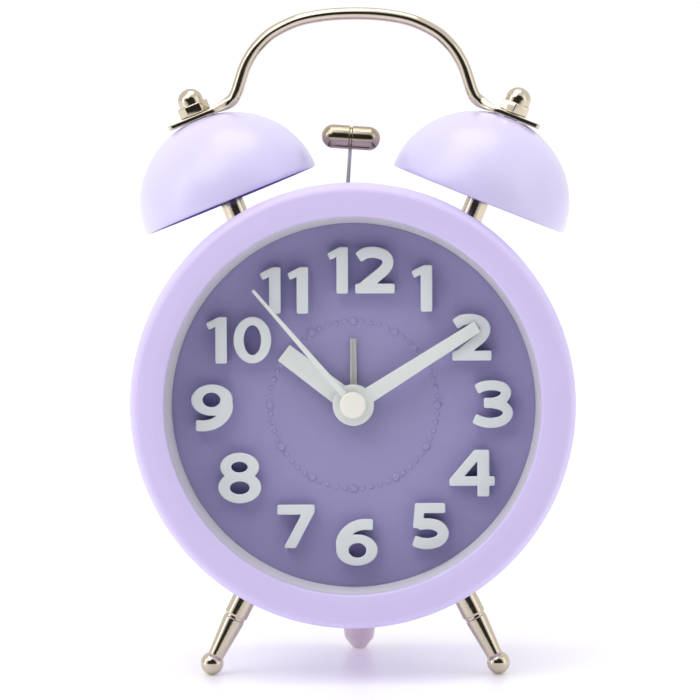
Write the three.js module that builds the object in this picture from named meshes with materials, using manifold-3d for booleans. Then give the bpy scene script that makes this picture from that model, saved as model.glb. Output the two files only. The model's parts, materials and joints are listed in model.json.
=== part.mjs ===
// Twin-bell alarm clock with a quartz movement: the whole assembly, one mesh for each sub-part.
// Units are millimetres. In the clock's own frame x is right, y runs back from the bezel's front
// (y = 0) and z is up, with the hands' axis on x = 0, z = 0. The clock leans back on its feet, and
// the group's origin is the middle of its footprint on the surface it stands on.
import * as THREE from "three";
import { mergeVertices } from "three/addons/utils/BufferGeometryUtils.js";
import Module from "manifold-3d";

const wasm = await Module();
wasm.setup();

// ---- driving dimensions ----
const degrees = THREE.MathUtils.degToRad;
const LEAN = degrees(8); // the clock leans back by this much
const RIM = { outer: 44, inner: 37.2, seat: 38.8, depth: 9.6 }; // the bezel's radii and depth
const SHELL = { outer: 43, inner: 41.4, front: 9.9, back: 46 }; // the case's drum
const COVER = { radius: 41.2, front: 44.8, back: 46.4 };
const LENS = { front: 2, back: 3.4 };
const DIAL = { front: 10, back: 11.4, radius: 38.5, hole: 3.5 };
const BELL_PLANE = 23; // y of the bells, the handle and the hammer
const LEG_PLANE = 12.9; // y of the two front legs
const TOUCH = 0.1; // gap between pieces that rest on each other
const ROUND = 40; // segments of the large rings
const M3 = { thread: 1.45, hole: 1.8, flats: 5.5 }; // screw sizes of the bells and legs

// ---- materials ----
function finish(color, roughness, metalness = 0) {
  return new THREE.MeshStandardMaterial({ color, roughness, metalness });
}
const lilacPlastic = finish(0xcfc3ee, 0.45);
const lilacEnamel = finish(0xdcd5fa, 0.4);
const dialPurple = finish(0x8b82b4, 0.6);
const handWhite = finish(0xe4e8e2, 0.5);
const capWhite = finish(0xf4f3ec, 0.35);
const reflectorGrey = finish(0xc9c6d2, 0.5);
const clearPlastic = finish(0xf4f6f8, 0.05);
const nickel = finish(0xd8cdb8, 0.18, 1);
const steel = finish(0xb8b8b8, 0.35, 1);
const copper = finish(0xb06a3c, 0.4, 1);
const footPlastic = finish(0xd3c0cc, 0.55);
const innerPlastic = finish(0xe9e7e0, 0.6);
const gearPlastic = finish(0xf3efe4, 0.5);
const boardGreen = finish(0x2f6b46, 0.6);
const cellJacket = finish(0x3a3f45, 0.45);

// ---- shaping helpers ----
const clock = new THREE.Group();

function add(name, geometry, material, parent = clock) {
  const mesh = new THREE.Mesh(geometry, material);
  mesh.name = name;
  parent.add(mesh);
}

function solid(geometry) {
  const bare = geometry.clone();
  bare.deleteAttribute("normal");
  bare.deleteAttribute("uv");
  const merged = mergeVertices(bare, 1e-4);
  return new wasm.Manifold(
    new wasm.Mesh({
      numProp: 3,
      vertProperties: merged.attributes.position.array,
      triVerts: new Uint32Array(merged.index.array),
    }),
  );
}

function geometryOf(made) {
  const mesh = made.getMesh();
  const geometry = new THREE.BufferGeometry();
  const points = new Float32Array(mesh.vertProperties);
  geometry.setAttribute("position", new THREE.BufferAttribute(points, mesh.numProp));
  geometry.setIndex(new THREE.BufferAttribute(new Uint32Array(mesh.triVerts), 1));
  return geometry;
}

function join(...geometries) {
  return geometryOf(geometries.map(solid).reduce((a, b) => a.add(b)));
}

function cut(geometry, ...tools) {
  return geometryOf(tools.map(solid).reduce((a, b) => a.subtract(b), solid(geometry)));
}

// A solid turned about the y axis from [radius, y] pairs; off the axis the profile closes on itself.
function turned(profile, segments = 20) {
  const ring = profile.map(([r, y]) => new THREE.Vector2(r, y));
  if (THREE.ShapeUtils.area(ring) < 0) ring.reverse();
  if (profile[0][0] > 0) ring.push(ring[0].clone());
  return new THREE.LatheGeometry(ring, segments);
}

function rod(radius, y0, y1, x = 0, z = 0, segments = 12) {
  return turned([[0, y0], [radius, y0], [radius, y1], [0, y1]], segments).translate(x, 0, z);
}

function tube(outer, inner, y0, y1, x = 0, z = 0, segments = 20) {
  const wall = [[inner, y0], [outer, y0], [outer, y1], [inner, y1]];
  return turned(wall, segments).translate(x, 0, z);
}

// A flat shape drawn in x and z, standing from y0 to y1.
function plate(shape, y0, y1, curveSegments = 6) {
  const options = { depth: y1 - y0, bevelEnabled: false, curveSegments };
  return new THREE.ExtrudeGeometry(shape, options).rotateX(Math.PI / 2).translate(0, y1, 0);
}

function polygon(points) {
  return new THREE.Shape(points.map(([x, z]) => new THREE.Vector2(x, z)));
}

function rectangle(x0, z0, x1, z1) {
  return polygon([[x0, z0], [x1, z0], [x1, z1], [x0, z1]]);
}

function roundedRectangle(x0, z0, x1, z1, r) {
  const quarter = Math.PI / 2;
  const shape = new THREE.Shape();
  shape.absarc(x1 - r, z0 + r, r, -quarter, 0);
  shape.absarc(x1 - r, z1 - r, r, 0, quarter);
  shape.absarc(x0 + r, z1 - r, r, quarter, 2 * quarter);
  shape.absarc(x0 + r, z0 + r, r, 2 * quarter, 3 * quarter);
  return shape;
}

function ellipse(cx, cz, rx, rz) {
  const shape = new THREE.Shape();
  shape.absellipse(cx, cz, rx, rz, 0, 2 * Math.PI);
  return shape;
}

// Adds round holes, each [x, z, radius], to a flat shape.
function pierced(shape, holes) {
  for (const [x, z, r] of holes) shape.holes.push(ellipse(x, z, r, r));
  return shape;
}

function block(x0, x1, y0, y1, z0, z1) {
  const box = new THREE.BoxGeometry(x1 - x0, y1 - y0, z1 - z0);
  return box.translate((x0 + x1) / 2, (y0 + y1) / 2, (z0 + z1) / 2);
}

// A frame whose own y points along a direction in the clock's x-z plane, with its own x in that plane.
function frameAlong(x, y, z, alongX, alongZ) {
  const frame = new THREE.Group();
  const own = [[alongZ, 0, -alongX], [alongX, 0, alongZ], [0, -1, 0]].map((v) => new THREE.Vector3(...v));
  frame.position.set(x, y, z);
  frame.quaternion.setFromRotationMatrix(new THREE.Matrix4().makeBasis(...own));
  frame.updateMatrix();
  clock.add(frame);
  return frame;
}

// The drum as a solid cylinder in a frame of its own, for a piece that is cut to sit on it.
function drumIn(frame) {
  const drum = rod(SHELL.outer + TOUCH, 0, COVER.back, 0, 0, ROUND);
  return drum.applyMatrix4(frame.matrix.clone().invert());
}

function hexCorner(flats) {
  return flats / Math.sqrt(3);
}

// ---- bells with their posts, studs and nuts ----
const BELL = { x: 24.7, z: 40.8, tilt: degrees(22.1), radius: 18.2, height: 17.2, wall: 0.9 };
const CROWN = { flat: 3.2 }; // the flat seat at the top of the bell, on which the handle's tab sits
CROWN.angle = Math.acos(CROWN.flat / BELL.radius);
CROWN.outside = BELL.height * Math.sin(CROWN.angle);
CROWN.inside = CROWN.outside - BELL.wall;
const TAB = { thick: 1, half: 3.1, outward: 6, inward: 6.4 };
const NUT = { seat: CROWN.outside + TAB.thick + 2 * TOUCH, hex: 2.3, dome: 3.3 };
const NUT_TURN = { left: degrees(30), right: 0 }; // how far round each nut was tightened
const POST = { radius: 2.3, foot: -7 };
const STUD = { headFrom: -8.6, headTo: -7.2, head: 2.6 };
const THREAD_FIT = 0.15; // how much wider a threaded hole is than its screw

function bellShell() {
  const steps = 6;
  const outside = [];
  const inside = [];
  for (let i = 0; i <= steps; i++) {
    const a = (i / steps) * CROWN.angle;
    outside.push([BELL.radius * Math.cos(a), BELL.height * Math.sin(a)]);
    inside.unshift([
      (BELL.radius - BELL.wall) * Math.cos(a),
      (CROWN.inside / Math.sin(CROWN.angle)) * Math.sin(a),
    ]);
  }
  const hole = [[M3.hole, CROWN.outside], [M3.hole, CROWN.inside]];
  return turned([...outside, ...hole, ...inside], 26);
}

function stud() {
  const end = NUT.seat + NUT.hex;
  return turned(
    [
      [0, STUD.headFrom], [STUD.head, STUD.headFrom], [STUD.head, STUD.headTo], [M3.thread, STUD.headTo],
      [M3.thread, end], [0, end],
    ],
    10,
  );
}

function domeNut(turn) {
  const base = NUT.seat + NUT.hex - 0.2;
  const rise = [[0, 0], [2.5, 0], [2.45, 1.3], [2.05, 2.3], [1.15, 3.1], [0, NUT.dome]];
  const dome = rise.map(([r, y]) => [r, base + y]);
  const hex = rod(hexCorner(M3.flats), NUT.seat, NUT.seat + NUT.hex, 0, 0, 6).rotateY(turn);
  const thread = rod(M3.thread + THREAD_FIT, NUT.seat - 1, NUT.seat + NUT.hex + 0.4, 0, 0, 12);
  return cut(join(hex, turned(dome, 16)), thread);
}

// Adds one bell and what holds it, and gives back its frame and the hole in the drum.
function bellSet(side, label) {
  const tilt = [side * Math.sin(BELL.tilt), Math.cos(BELL.tilt)];
  const frame = frameAlong(side * BELL.x, BELL_PLANE, BELL.z, ...tilt);
  const post = tube(POST.radius, M3.thread + 0.2, POST.foot, CROWN.inside - TOUCH, 0, 0, 20);
  add(`${label}_bell`, bellShell(), lilacEnamel, frame);
  add(`${label}_bell_post`, cut(post, drumIn(frame)), nickel, frame);
  add(`${label}_bell_stud`, stud(), steel, frame);
  add(`${label}_dome_nut`, domeNut(NUT_TURN[label]), nickel, frame);
  return { frame, hole: rod(M3.hole, -10, 0).applyMatrix4(frame.matrix) };
}

// ---- handle ----
const ROD = 1.25; // radius of the handle's rod
const HANDLE_LINE = [
  [26.2, 59.2], [24.6, 60.3], [23.5, 61.9], [22.7, 64.3], [21.9, 66.7], [20.7, 69.1], [19, 71.4],
  [16.2, 73.9], [11.4, 76.2], [5.8, 77.3], [0, 77.6],
];

function handle(bellFrames) {
  const half = HANDLE_LINE.map(([x, z]) => new THREE.Vector3(x, BELL_PLANE, z));
  const mirrored = half.slice(0, -1).reverse().map((p) => new THREE.Vector3(-p.x, p.y, p.z));
  const bar = new THREE.ExtrudeGeometry(ellipse(0, 0, ROD, ROD), {
    steps: 30,
    curveSegments: 4,
    bevelEnabled: false,
    extrudePath: new THREE.CatmullRomCurve3([...half, ...mirrored]),
  });
  const low = CROWN.outside + TOUCH;
  const strip = roundedRectangle(-TAB.inward, -TAB.half, TAB.outward, TAB.half, 1);
  const outline = pierced(strip, [[0, 0, M3.hole]]);
  const tabs = bellFrames.map((frame, i) => {
    const tab = plate(outline, low, low + TAB.thick, 3);
    return tab.rotateY(i ? 0 : Math.PI).applyMatrix4(frame.matrix);
  });
  return join(bar, ...tabs);
}

// ---- legs and rear foot ----
const LEG = { x: 2.65, angle: degrees(26.7), ball: 57.3, ballRadius: 2.3, stud: 37.9 };
LEG.nutFrom = LEG.stud + 0.2;
LEG.nutTo = LEG.nutFrom + 1.5;
const FOOT = { y: 41.6, sole: 1.25, radius: 3.3, height: 8.6, peg: 1.5, pegEnd: 11.2 };

// The leg is turned about its own y, which runs outwards from near the case's axis.
function leg(frame) {
  const ball = [-46, -20, 5, 30, 55, 75, 90].map((a) => {
    const r = a === 90 ? 0 : LEG.ballRadius * Math.cos(degrees(a));
    return [r, LEG.ball + LEG.ballRadius * Math.sin(degrees(a))];
  });
  const profile = [
    [0, 40], [2.35, 40], [2.35, 46.6], [2.02, 46.8], [2.02, 47.3], [2.15, 47.5], [1.6, 55.3], ...ball,
  ];
  return join(cut(turned(profile, 14), drumIn(frame)), rod(M3.thread, LEG.stud, 44, 0, 0, 12));
}

function legSet(side, label) {
  const frame = frameAlong(side * LEG.x, LEG_PLANE, 0, side * Math.sin(LEG.angle), -Math.cos(LEG.angle));
  add(`${label}_leg`, leg(frame), nickel, frame);
  const hex = rod(hexCorner(M3.flats), LEG.nutFrom, LEG.nutTo, 0, 0, 6);
  const nut = cut(hex, rod(M3.thread + THREAD_FIT, LEG.nutFrom - 1, LEG.nutTo + 1, 0, 0, 12));
  add(`${label}_leg_nut`, nut, steel, frame);
  return rod(M3.hole, 38, 46).applyMatrix4(frame.matrix);
}

// The foot stands upright under the leaning clock, its sole level with the bottoms of the leg balls.
function rearFoot() {
  const ballZ = -LEG.ball * Math.cos(LEG.angle);
  const ground = ballZ * Math.cos(LEAN) - LEG_PLANE * Math.sin(LEAN) - LEG.ballRadius;
  const frame = new THREE.Group();
  frame.position.set(0, FOOT.y, (ground + FOOT.y * Math.sin(LEAN)) / Math.cos(LEAN));
  frame.rotation.x = LEAN;
  frame.updateMatrix();
  clock.add(frame);
  const upright = (shape) => shape.rotateX(Math.PI / 2);
  const bulb = turned(
    [
      [0, 0], [FOOT.sole, 0], [2.1, 0.75], [2.75, 1.8], [3.1, 3.2], [FOOT.radius, 4.8],
      [FOOT.radius, FOOT.height], [0, FOOT.height],
    ],
    20,
  );
  const peg = upright(rod(FOOT.peg, 5, FOOT.pegEnd, 0, 0, 12));
  add("rear_foot", join(cut(upright(bulb), drumIn(frame)), peg), footPlastic, frame);
  return upright(rod(FOOT.peg + 0.3, 3, 13)).applyMatrix4(frame.matrix);
}

// ---- hammer and the magnet that drives it ----
const HAMMER = { x: -2.44, z: 28, rest: degrees(4), arm: 25, radius: 2.45, half: 6.05, wire: 0.5 };
const MAGNET = { radius: 1.9, drop: 6.6 }; // on the rocker's tail, this far under the pivot
const COIL = { x: 6.2, z: HAMMER.z - MAGNET.drop, length: 9.2, flange: 3.6 };
const SLOT = { left: -5.4, right: 3.8, half: 1.4 }; // the drum's opening for the hammer's wire
const BRACKET = { front: BELL_PLANE + 4.4, thick: 1.2 };
const PIVOT = { pin: 0.72, hole: 0.8 };

// Turned pieces of the striker lie along x or stand along z.
const alongX = (shape) => shape.rotateZ(-Math.PI / 2);
const alongZ = (shape) => shape.rotateX(-Math.PI / 2).rotateZ(Math.PI);

function hammerHead() {
  const r = HAMMER.radius;
  const h = HAMMER.half;
  const nose = [[0, h], [1.1, h - 0.15], [1.85, h - 0.6], [2.3, h - 1.3], [r, h - 2.1]];
  const end = [...nose, [r, 0.35], [r - 0.3, 0.2]];
  const profile = [...end, ...end.map(([a, b]) => [a, -b]).reverse()];
  const socket = alongZ(rod(HAMMER.wire + 0.1, -HAMMER.arm, 3 - HAMMER.arm));
  return cut(alongX(turned(profile, 16)).translate(0, 0, HAMMER.arm), socket);
}

function hammerRocker() {
  const boss = tube(2.6, PIVOT.hole, -1.6, 1.6, 0, 0, 20);
  const collar = alongZ(rod(1.3, -5.4, -2.2));
  const tail = block(-1, 1, -1.2, 1.2, -8.4, -2.2);
  const bore = alongZ(rod(HAMMER.wire + 0.1, -6, -2.3));
  return cut(join(boss, collar, tail), bore);
}

// Adds the swinging hammer and the striker's fixed side, and gives back the slot in the drum.
function hammerSet() {
  const swing = new THREE.Group();
  swing.position.set(HAMMER.x, BELL_PLANE, HAMMER.z);
  swing.rotation.y = HAMMER.rest;
  clock.add(swing);
  add("hammer_head", hammerHead(), nickel, swing);
  add("hammer_wire", alongZ(rod(HAMMER.wire, TOUCH - HAMMER.arm, -2.4)), nickel, swing);
  add("hammer_rocker", hammerRocker(), gearPlastic, swing);
  const magnet = alongX(rod(MAGNET.radius, 1 + TOUCH, 3)).translate(0, 0, -MAGNET.drop);
  add("hammer_magnet", magnet, steel, swing);

  const pinEnd = BRACKET.front - 0.2;
  add("hammer_pivot_pin", rod(PIVOT.pin, BELL_PLANE - 2.6, pinEnd, HAMMER.x, HAMMER.z, 20), steel);
  const place = (shape) => alongX(shape).translate(COIL.x, BELL_PLANE, COIL.z);
  const { length, flange } = COIL;
  const reel = [
    [1.35, 0], [flange, 0], [flange, 0.8], [1.9, 0.8], [1.9, length - 0.8], [flange, length - 0.8],
    [flange, length], [1.35, length],
  ];
  add("striker_core", place(rod(1.2, -1.2, length + 1.2)), steel);
  add("striker_bobbin", place(turned(reel, 20)), innerPlastic);
  add("striker_winding", place(tube(3.3, 2, 0.9, length - 0.9, 0, 0, 20)), copper);
  add("striker_bracket", strikerBracket(place), innerPlastic);
  return block(SLOT.left, SLOT.right, BELL_PLANE - SLOT.half, BELL_PLANE + SLOT.half, 38, 46);
}

// A plate up to the drum's inside, with a boss for the pivot pin and a clamp for the coil's core.
function strikerBracket(place) {
  const { front, thick } = BRACKET;
  const radius = SHELL.inner - 0.3;
  const corner = (x) => Math.atan2(Math.sqrt(radius * radius - x * x), x);
  const outline = new THREE.Shape();
  outline.moveTo(-12, 18).lineTo(19, 18);
  outline.absarc(0, 0, radius, corner(19), corner(-12));
  const back = plate(outline, front, front + thick, 5);
  const grip = [COIL.x + 9.5, COIL.x + 11, BELL_PLANE - 2.4, front + 0.4, COIL.z - 2.4, COIL.z + 2.4];
  const clamp = block(...grip);
  const boss = rod(1.8, front - 1.6, front + 0.4, HAMMER.x, HAMMER.z);
  const pinHole = rod(PIVOT.hole, front - 2, front + thick - 0.4, HAMMER.x, HAMMER.z);
  return cut(join(back, clamp, boss), pinHole, place(rod(1.35, 8, 12)));
}

// ---- case: bezel, lens, reflector ring, drum ----
function frontBezel() {
  return turned(
    [
      [RIM.inner, 1.9], [RIM.inner, 0.9], [37.7, 0.2], [38.6, 0], [42, 0.15], [43.3, 0.8], [RIM.outer, 2.4],
      [RIM.outer, RIM.depth], [42.4, RIM.depth], [42.4, 3.4], [40.4, 3.4], [40.4, RIM.depth],
      [RIM.seat, RIM.depth], [RIM.seat, 1.9],
    ],
    ROUND,
  );
}

function reflectorRing() {
  const y0 = LENS.back + 0.2;
  const y1 = DIAL.front - 0.2;
  return turned([[RIM.inner, y0], [DIAL.radius, y0], [DIAL.radius, y1], [35.8, y1]], ROUND);
}

const COVER_SCREW = { x: 35.5, z: 4, shank: 1.1, head: 2.3 };

function caseShell(holes) {
  const drum = tube(SHELL.outer, SHELL.inner, SHELL.front, SHELL.back, 0, 0, ROUND);
  const y0 = COVER.front - 14;
  const y1 = COVER.front - 0.2;
  const posts = [-1, 1].map((side) => {
    const ribEnd = SHELL.inner + 0.8;
    const rib = block(COVER_SCREW.x, ribEnd, y0, y1, COVER_SCREW.z - 0.8, COVER_SCREW.z + 0.8);
    if (side < 0) rib.translate(-COVER_SCREW.x - ribEnd, 0, 0);
    return join(rod(2.8, y0, y1, side * COVER_SCREW.x, COVER_SCREW.z), rib);
  });
  const threads = [-1, 1].map((side) => rod(1.25, y1 - 8, y1 + 1, side * COVER_SCREW.x, COVER_SCREW.z));
  return cut(join(drum, ...posts), ...threads, ...holes);
}

// ---- rear cover with its battery bay ----
const BAY = { half: 28.6, z: -19, width: 15.4, floor: 29.4, wall: 1.2 };
const CELL = { radius: 7.25, length: 50.5, x: -26.8, y: 36.9 };
const DOOR = { half: 29.3, width: 17, front: 45, back: 46.5 };
const SWITCH = { x: 21, z: 15, nub: 2, travel: 4 }; // the nub rests at the low end of its slot
const KNOB = { radius: 5.6, neck: 2.4, front: 46.8, back: 51.6 };

function rearCover() {
  const box = (grow, back) => {
    const reach = BAY.half + grow;
    const rise = BAY.width / 2 + grow;
    return block(-reach, reach, BAY.floor - grow, back, BAY.z - rise, BAY.z + rise);
  };
  const outer = box(BAY.wall, COVER.back - 1);
  const inner = box(0, COVER.back + 1);
  const doorOpening = block(
    -DOOR.half - 0.3, DOOR.half + 0.3, COVER.front + 0.1, COVER.back + 1,
    BAY.z - DOOR.width / 2 - 0.3, BAY.z + DOOR.width / 2 + 0.3,
  );
  const neckHoles = [TIME_ARBOR, ALARM_ARBOR].map(([x, z]) => [x, z, KNOB.neck + 0.1]);
  const screwHoles = [-1, 1].map((side) => [side * COVER_SCREW.x, COVER_SCREW.z, COVER_SCREW.shank + 0.3]);
  const disc = pierced(ellipse(0, 0, COVER.radius, COVER.radius), [...neckHoles, ...screwHoles]);
  const reach = SWITCH.nub + SWITCH.travel / 2 + 0.2;
  const slot = block(SWITCH.x - 1.5, SWITCH.x + 1.5, 40, 50, SWITCH.z - reach, SWITCH.z + reach);
  return cut(join(plate(disc, COVER.front, COVER.back, 20), outer), inner, doorOpening, slot);
}

function batteryDoor() {
  const { half, width, front, back } = DOOR;
  const outline = roundedRectangle(-half, BAY.z - width / 2, half, BAY.z + width / 2, 0.8);
  const lid = plate(outline, front, back, 2);
  const ribs = [0, 1, 2, 3, 4].map((i) => {
    const x = half - 8 + 1.4 * i;
    return block(x, x + 0.6, back - 0.2, back + 0.5, BAY.z - 4, BAY.z + 4);
  });
  return join(lid, ...ribs);
}

function batteryCell() {
  const end = CELL.length - 1;
  const profile = [
    [0, 0], [2.7, 0], [2.7, 1], [CELL.radius - 0.5, 1], [CELL.radius, 1.5],
    [CELL.radius, end + 0.5], [CELL.radius - 0.5, end + 1], [0, end + 1],
  ];
  return alongX(turned(profile, 24)).translate(CELL.x, CELL.y, BAY.z);
}

// A conical spring against the cell's flat end, on its tinned plate.
function batterySpring() {
  const y = CELL.y;
  const x0 = CELL.x + CELL.length + 0.3;
  const x1 = BAY.half - 0.2;
  const turns = 3;
  const path = new THREE.CatmullRomCurve3(
    Array.from({ length: turns * 8 + 1 }, (_, i) => {
      const t = i / (turns * 8);
      const a = 2 * Math.PI * turns * t;
      const r = 2.2 + 2.6 * t;
      const x = x0 + 0.3 + t * (x1 - x0 - 0.8);
      return new THREE.Vector3(x, y + r * Math.cos(a), BAY.z + r * Math.sin(a));
    }),
  );
  const wire = new THREE.ExtrudeGeometry(ellipse(0, 0, 0.3, 0.3), {
    steps: turns * 8, curveSegments: 3, bevelEnabled: false, extrudePath: path,
  });
  return join(wire, block(x1 - 0.4, x1, y - 6, y + 6, BAY.z - 6, BAY.z + 6));
}

function batteryContact() {
  const x0 = -BAY.half + 0.2;
  const strip = block(x0, x0 + 0.4, CELL.y - 6, CELL.y + 6, BAY.z - 5, BAY.z + 5);
  const dimple = alongX(rod(2, 0, 0.9)).translate(x0 + 0.2, CELL.y, BAY.z);
  return join(strip, dimple);
}

function coverScrew(side) {
  const y = COVER.back + TOUCH;
  const { head, shank } = COVER_SCREW;
  const profile = [
    [0, y - 7], [shank, y - 7], [shank, y], [head, y], [head, y + 0.7], [head - 0.7, y + 1.3], [0, y + 1.3],
  ];
  const slotTool = (w, h) => block(-w, w, y + 0.6, y + 2, -h, h);
  const screw = cut(turned(profile, 16), slotTool(1.3, 0.3), slotTool(0.3, 1.3));
  return screw.translate(side * COVER_SCREW.x, 0, COVER_SCREW.z);
}

function knob([x, z]) {
  const grips = 20;
  const rim = [];
  for (let i = 0; i < 2 * grips; i++) {
    const r = KNOB.radius - (i % 2 ? 0.35 : 0);
    const a = (i * Math.PI) / grips;
    rim.push([r * Math.cos(a), r * Math.sin(a)]);
  }
  const grip = plate(polygon(rim), KNOB.front, KNOB.back);
  const neck = rod(KNOB.neck, COVER.front - 0.8, KNOB.front + 0.5, 0, 0, 24);
  const bore = rod(ARBOR + TOUCH, COVER.front - 2, KNOB.back - 1.5, 0, 0);
  return cut(join(grip, neck), bore).translate(x, 0, z);
}

function alarmSwitch() {
  const inside = COVER.front - 0.15;
  const slider = block(-2.6, 2.6, inside - 1.2, inside, -5, 5);
  const nub = block(-1.3, 1.3, inside - 0.2, COVER.back + 1.6, -SWITCH.nub, SWITCH.nub);
  return join(slider, nub).translate(SWITCH.x, 0, SWITCH.z - SWITCH.travel / 2);
}

// ---- hands ----
const PIPE = { second: 0.5, minute: 1.5, hour: 2.5, alarm: 3.3 }; // outer radii of the hands' pipes
const RUN = 0.08; // running clearance of a pipe or arbor in its bearing
const TIME = { hour: -52.9, minute: 57.9, second: -40.9 }; // degrees clockwise from twelve
const HANDS = {
  alarm: { y: 9, thick: 0.4, hub: 3.7, length: 13.1, root: 1.3, tip: 1.1 },
  hour: { y: 7.8, thick: 0.7, hub: 4.1, length: 17.2, root: 4.2, tip: 3.9 },
  minute: { y: 6.3, thick: 0.6, hub: 4, length: 29, root: 3.1, tip: 2.4 },
  second: { y: 5.2, thick: 0.4, hub: 2.2, length: 30.1, root: 1.3, tip: 0.6 },
};
const CAP = { radius: 2.65, front: 4.1 };

// A hand pointing to twelve, then turned clockwise.
function hand({ y, thick, hub, length, root, tip }, bore, turn) {
  const blade = polygon([[-root / 2, 0], [-tip / 2, length], [tip / 2, length], [root / 2, 0]]);
  const boss = rod(hub, y, y + thick, 0, 0, 28);
  return cut(join(plate(blade, y, y + thick), boss), rod(bore, y - 1, y + 2, 0, 0, 20)).rotateY(turn);
}

function secondHandCap() {
  const { radius, front } = CAP;
  const back = HANDS.second.y - TOUCH;
  return turned([[0, front], [radius - 0.7, front], [radius, front + 0.4], [radius, back], [0, back]], 24);
}

// ---- gear train ----
const ARBOR = 0.8; // radius of the two setting arbors
const FINE = 0.4; // radius of the train's arbors
const BRIDGE = { half: 22.4, rise: 14, front: 16.4, thick: 0.5 };
const MOVEMENT = { half: 24, low: -25.5, high: 16.5, front: 11.7, open: 24, wall: 1.2, back: 24.2 };
const TIME_ARBOR = [-8, 0];
const ALARM_ARBOR = [8.8, 0];
const THIRD = [0, 7];
const FIFTH = [0, -7.2];
const ROTOR = [4.93, -9];
const CENTRE = [0, 0];
const TEETH = {
  cannon: 10, minuteWheel: 30, minutePinion: 8, hour: 32, alarm: 32, alarmPinion: 12,
  pinion: 6, centre: 48, third: 45, second: 30, fifth: 36,
};
// From and to along y for each wheel; a pinion is wider than the wheel it meets.
const LEVEL = {
  alarmPinion: [13.4, 14.6], alarm: [13.6, 14.4], minutePinion: [15, 16.2], hour: [15.2, 16],
  cannon: [17.1, 18.5], minuteWheel: [17.4, 18.2], thirdPinion: [18.8, 19.8], centre: [19, 19.6],
  secondPinion: [20.7, 21.9], third: [21, 21.6], rotorPinion: [20.6, 21.8], fifth: [20.9, 21.5],
  fifthPinion: [22.2, 23.2], second: [22.4, 23], magnet: [17.4, 20.2],
};
const ARBOR_ENDS = [16.7, 24.6]; // of the train's arbors, in the bridge and the movement's back
const SETTING_ENDS = [13.3, KNOB.back - 1.7]; // of the two setting arbors

// Teeth stand on the pitch circle; phase is the direction of one tooth, from x towards z.
function gearShape(teeth, module, phase) {
  const pitch = (teeth * module) / 2;
  const step = (2 * Math.PI) / teeth;
  const points = [];
  const at = (r, a) => points.push([r * Math.cos(a), r * Math.sin(a)]);
  for (let i = 0; i < teeth; i++) {
    at(pitch - 1.15 * module, phase + (i - 0.5) * step);
    at(pitch + 0.75 * module, phase + i * step);
  }
  return polygon(points);
}

// The phase that puts a driven gear's tooth space opposite the driver's tooth.
function meshed([x0, z0], driverTeeth, driverPhase, [x1, z1], teeth) {
  const direction = Math.atan2(z1 - z0, x1 - x0);
  const toothAt = (driverTeeth * (direction - driverPhase)) / (2 * Math.PI);
  return direction + Math.PI - ((0.5 - toothAt) * 2 * Math.PI) / teeth;
}

function gear(teeth, module, [y0, y1], phase = 0, bore = 0) {
  const shape = gearShape(teeth, module, phase);
  if (bore) pierced(shape, [[0, 0, bore]]);
  return plate(shape, y0, y1, 5);
}

function moduleFor(a, b, teethA, teethB) {
  return (2 * Math.hypot(a[0] - b[0], a[1] - b[1])) / (teethA + teethB);
}
const place = (geometry, [x, z]) => geometry.translate(x, 0, z);

function motionWork() {
  const module = moduleFor(CENTRE, TIME_ARBOR, TEETH.cannon, TEETH.minuteWheel);
  const slow = moduleFor(CENTRE, TIME_ARBOR, TEETH.hour, TEETH.minutePinion);
  const cannonPipe = tube(PIPE.minute, PIPE.second + RUN, HANDS.minute.y - 0.2, 20.2);
  const cannon = gear(TEETH.cannon, module, LEVEL.cannon, 0, PIPE.minute - 0.3);
  add("minute_pinion", join(cannonPipe, cannon), gearPlastic);

  const wheelPhase = meshed(CENTRE, TEETH.cannon, 0, TIME_ARBOR, TEETH.minuteWheel);
  const pinionPhase = meshed(CENTRE, TEETH.hour, 0, TIME_ARBOR, TEETH.minutePinion);
  const wheel = gear(TEETH.minuteWheel, module, LEVEL.minuteWheel, wheelPhase);
  const pinion = gear(TEETH.minutePinion, slow, LEVEL.minutePinion, pinionPhase);
  add("minute_wheel", place(join(rod(ARBOR, ...SETTING_ENDS), wheel, pinion), TIME_ARBOR), gearPlastic);

  const hourPipe = tube(PIPE.hour, PIPE.minute + RUN, HANDS.hour.y - 0.2, LEVEL.hour[1]);
  const hourGear = gear(TEETH.hour, slow, LEVEL.hour, 0, PIPE.hour - 0.3);
  add("hour_wheel", join(hourPipe, hourGear), gearPlastic);
}

function alarmWork() {
  const module = moduleFor(CENTRE, ALARM_ARBOR, TEETH.alarm, TEETH.alarmPinion);
  const pipe = tube(PIPE.alarm, PIPE.hour + RUN, HANDS.alarm.y - 0.2, LEVEL.alarm[1]);
  const wheel = gear(TEETH.alarm, module, LEVEL.alarm, 0, PIPE.alarm - 0.3);
  add("alarm_wheel", join(pipe, wheel), gearPlastic);

  const phase = meshed(CENTRE, TEETH.alarm, 0, ALARM_ARBOR, TEETH.alarmPinion);
  const pinion = gear(TEETH.alarmPinion, module, LEVEL.alarmPinion, phase);
  add("alarm_setting_arbor", place(join(rod(ARBOR, ...SETTING_ENDS), pinion), ALARM_ARBOR), gearPlastic);
}

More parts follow.
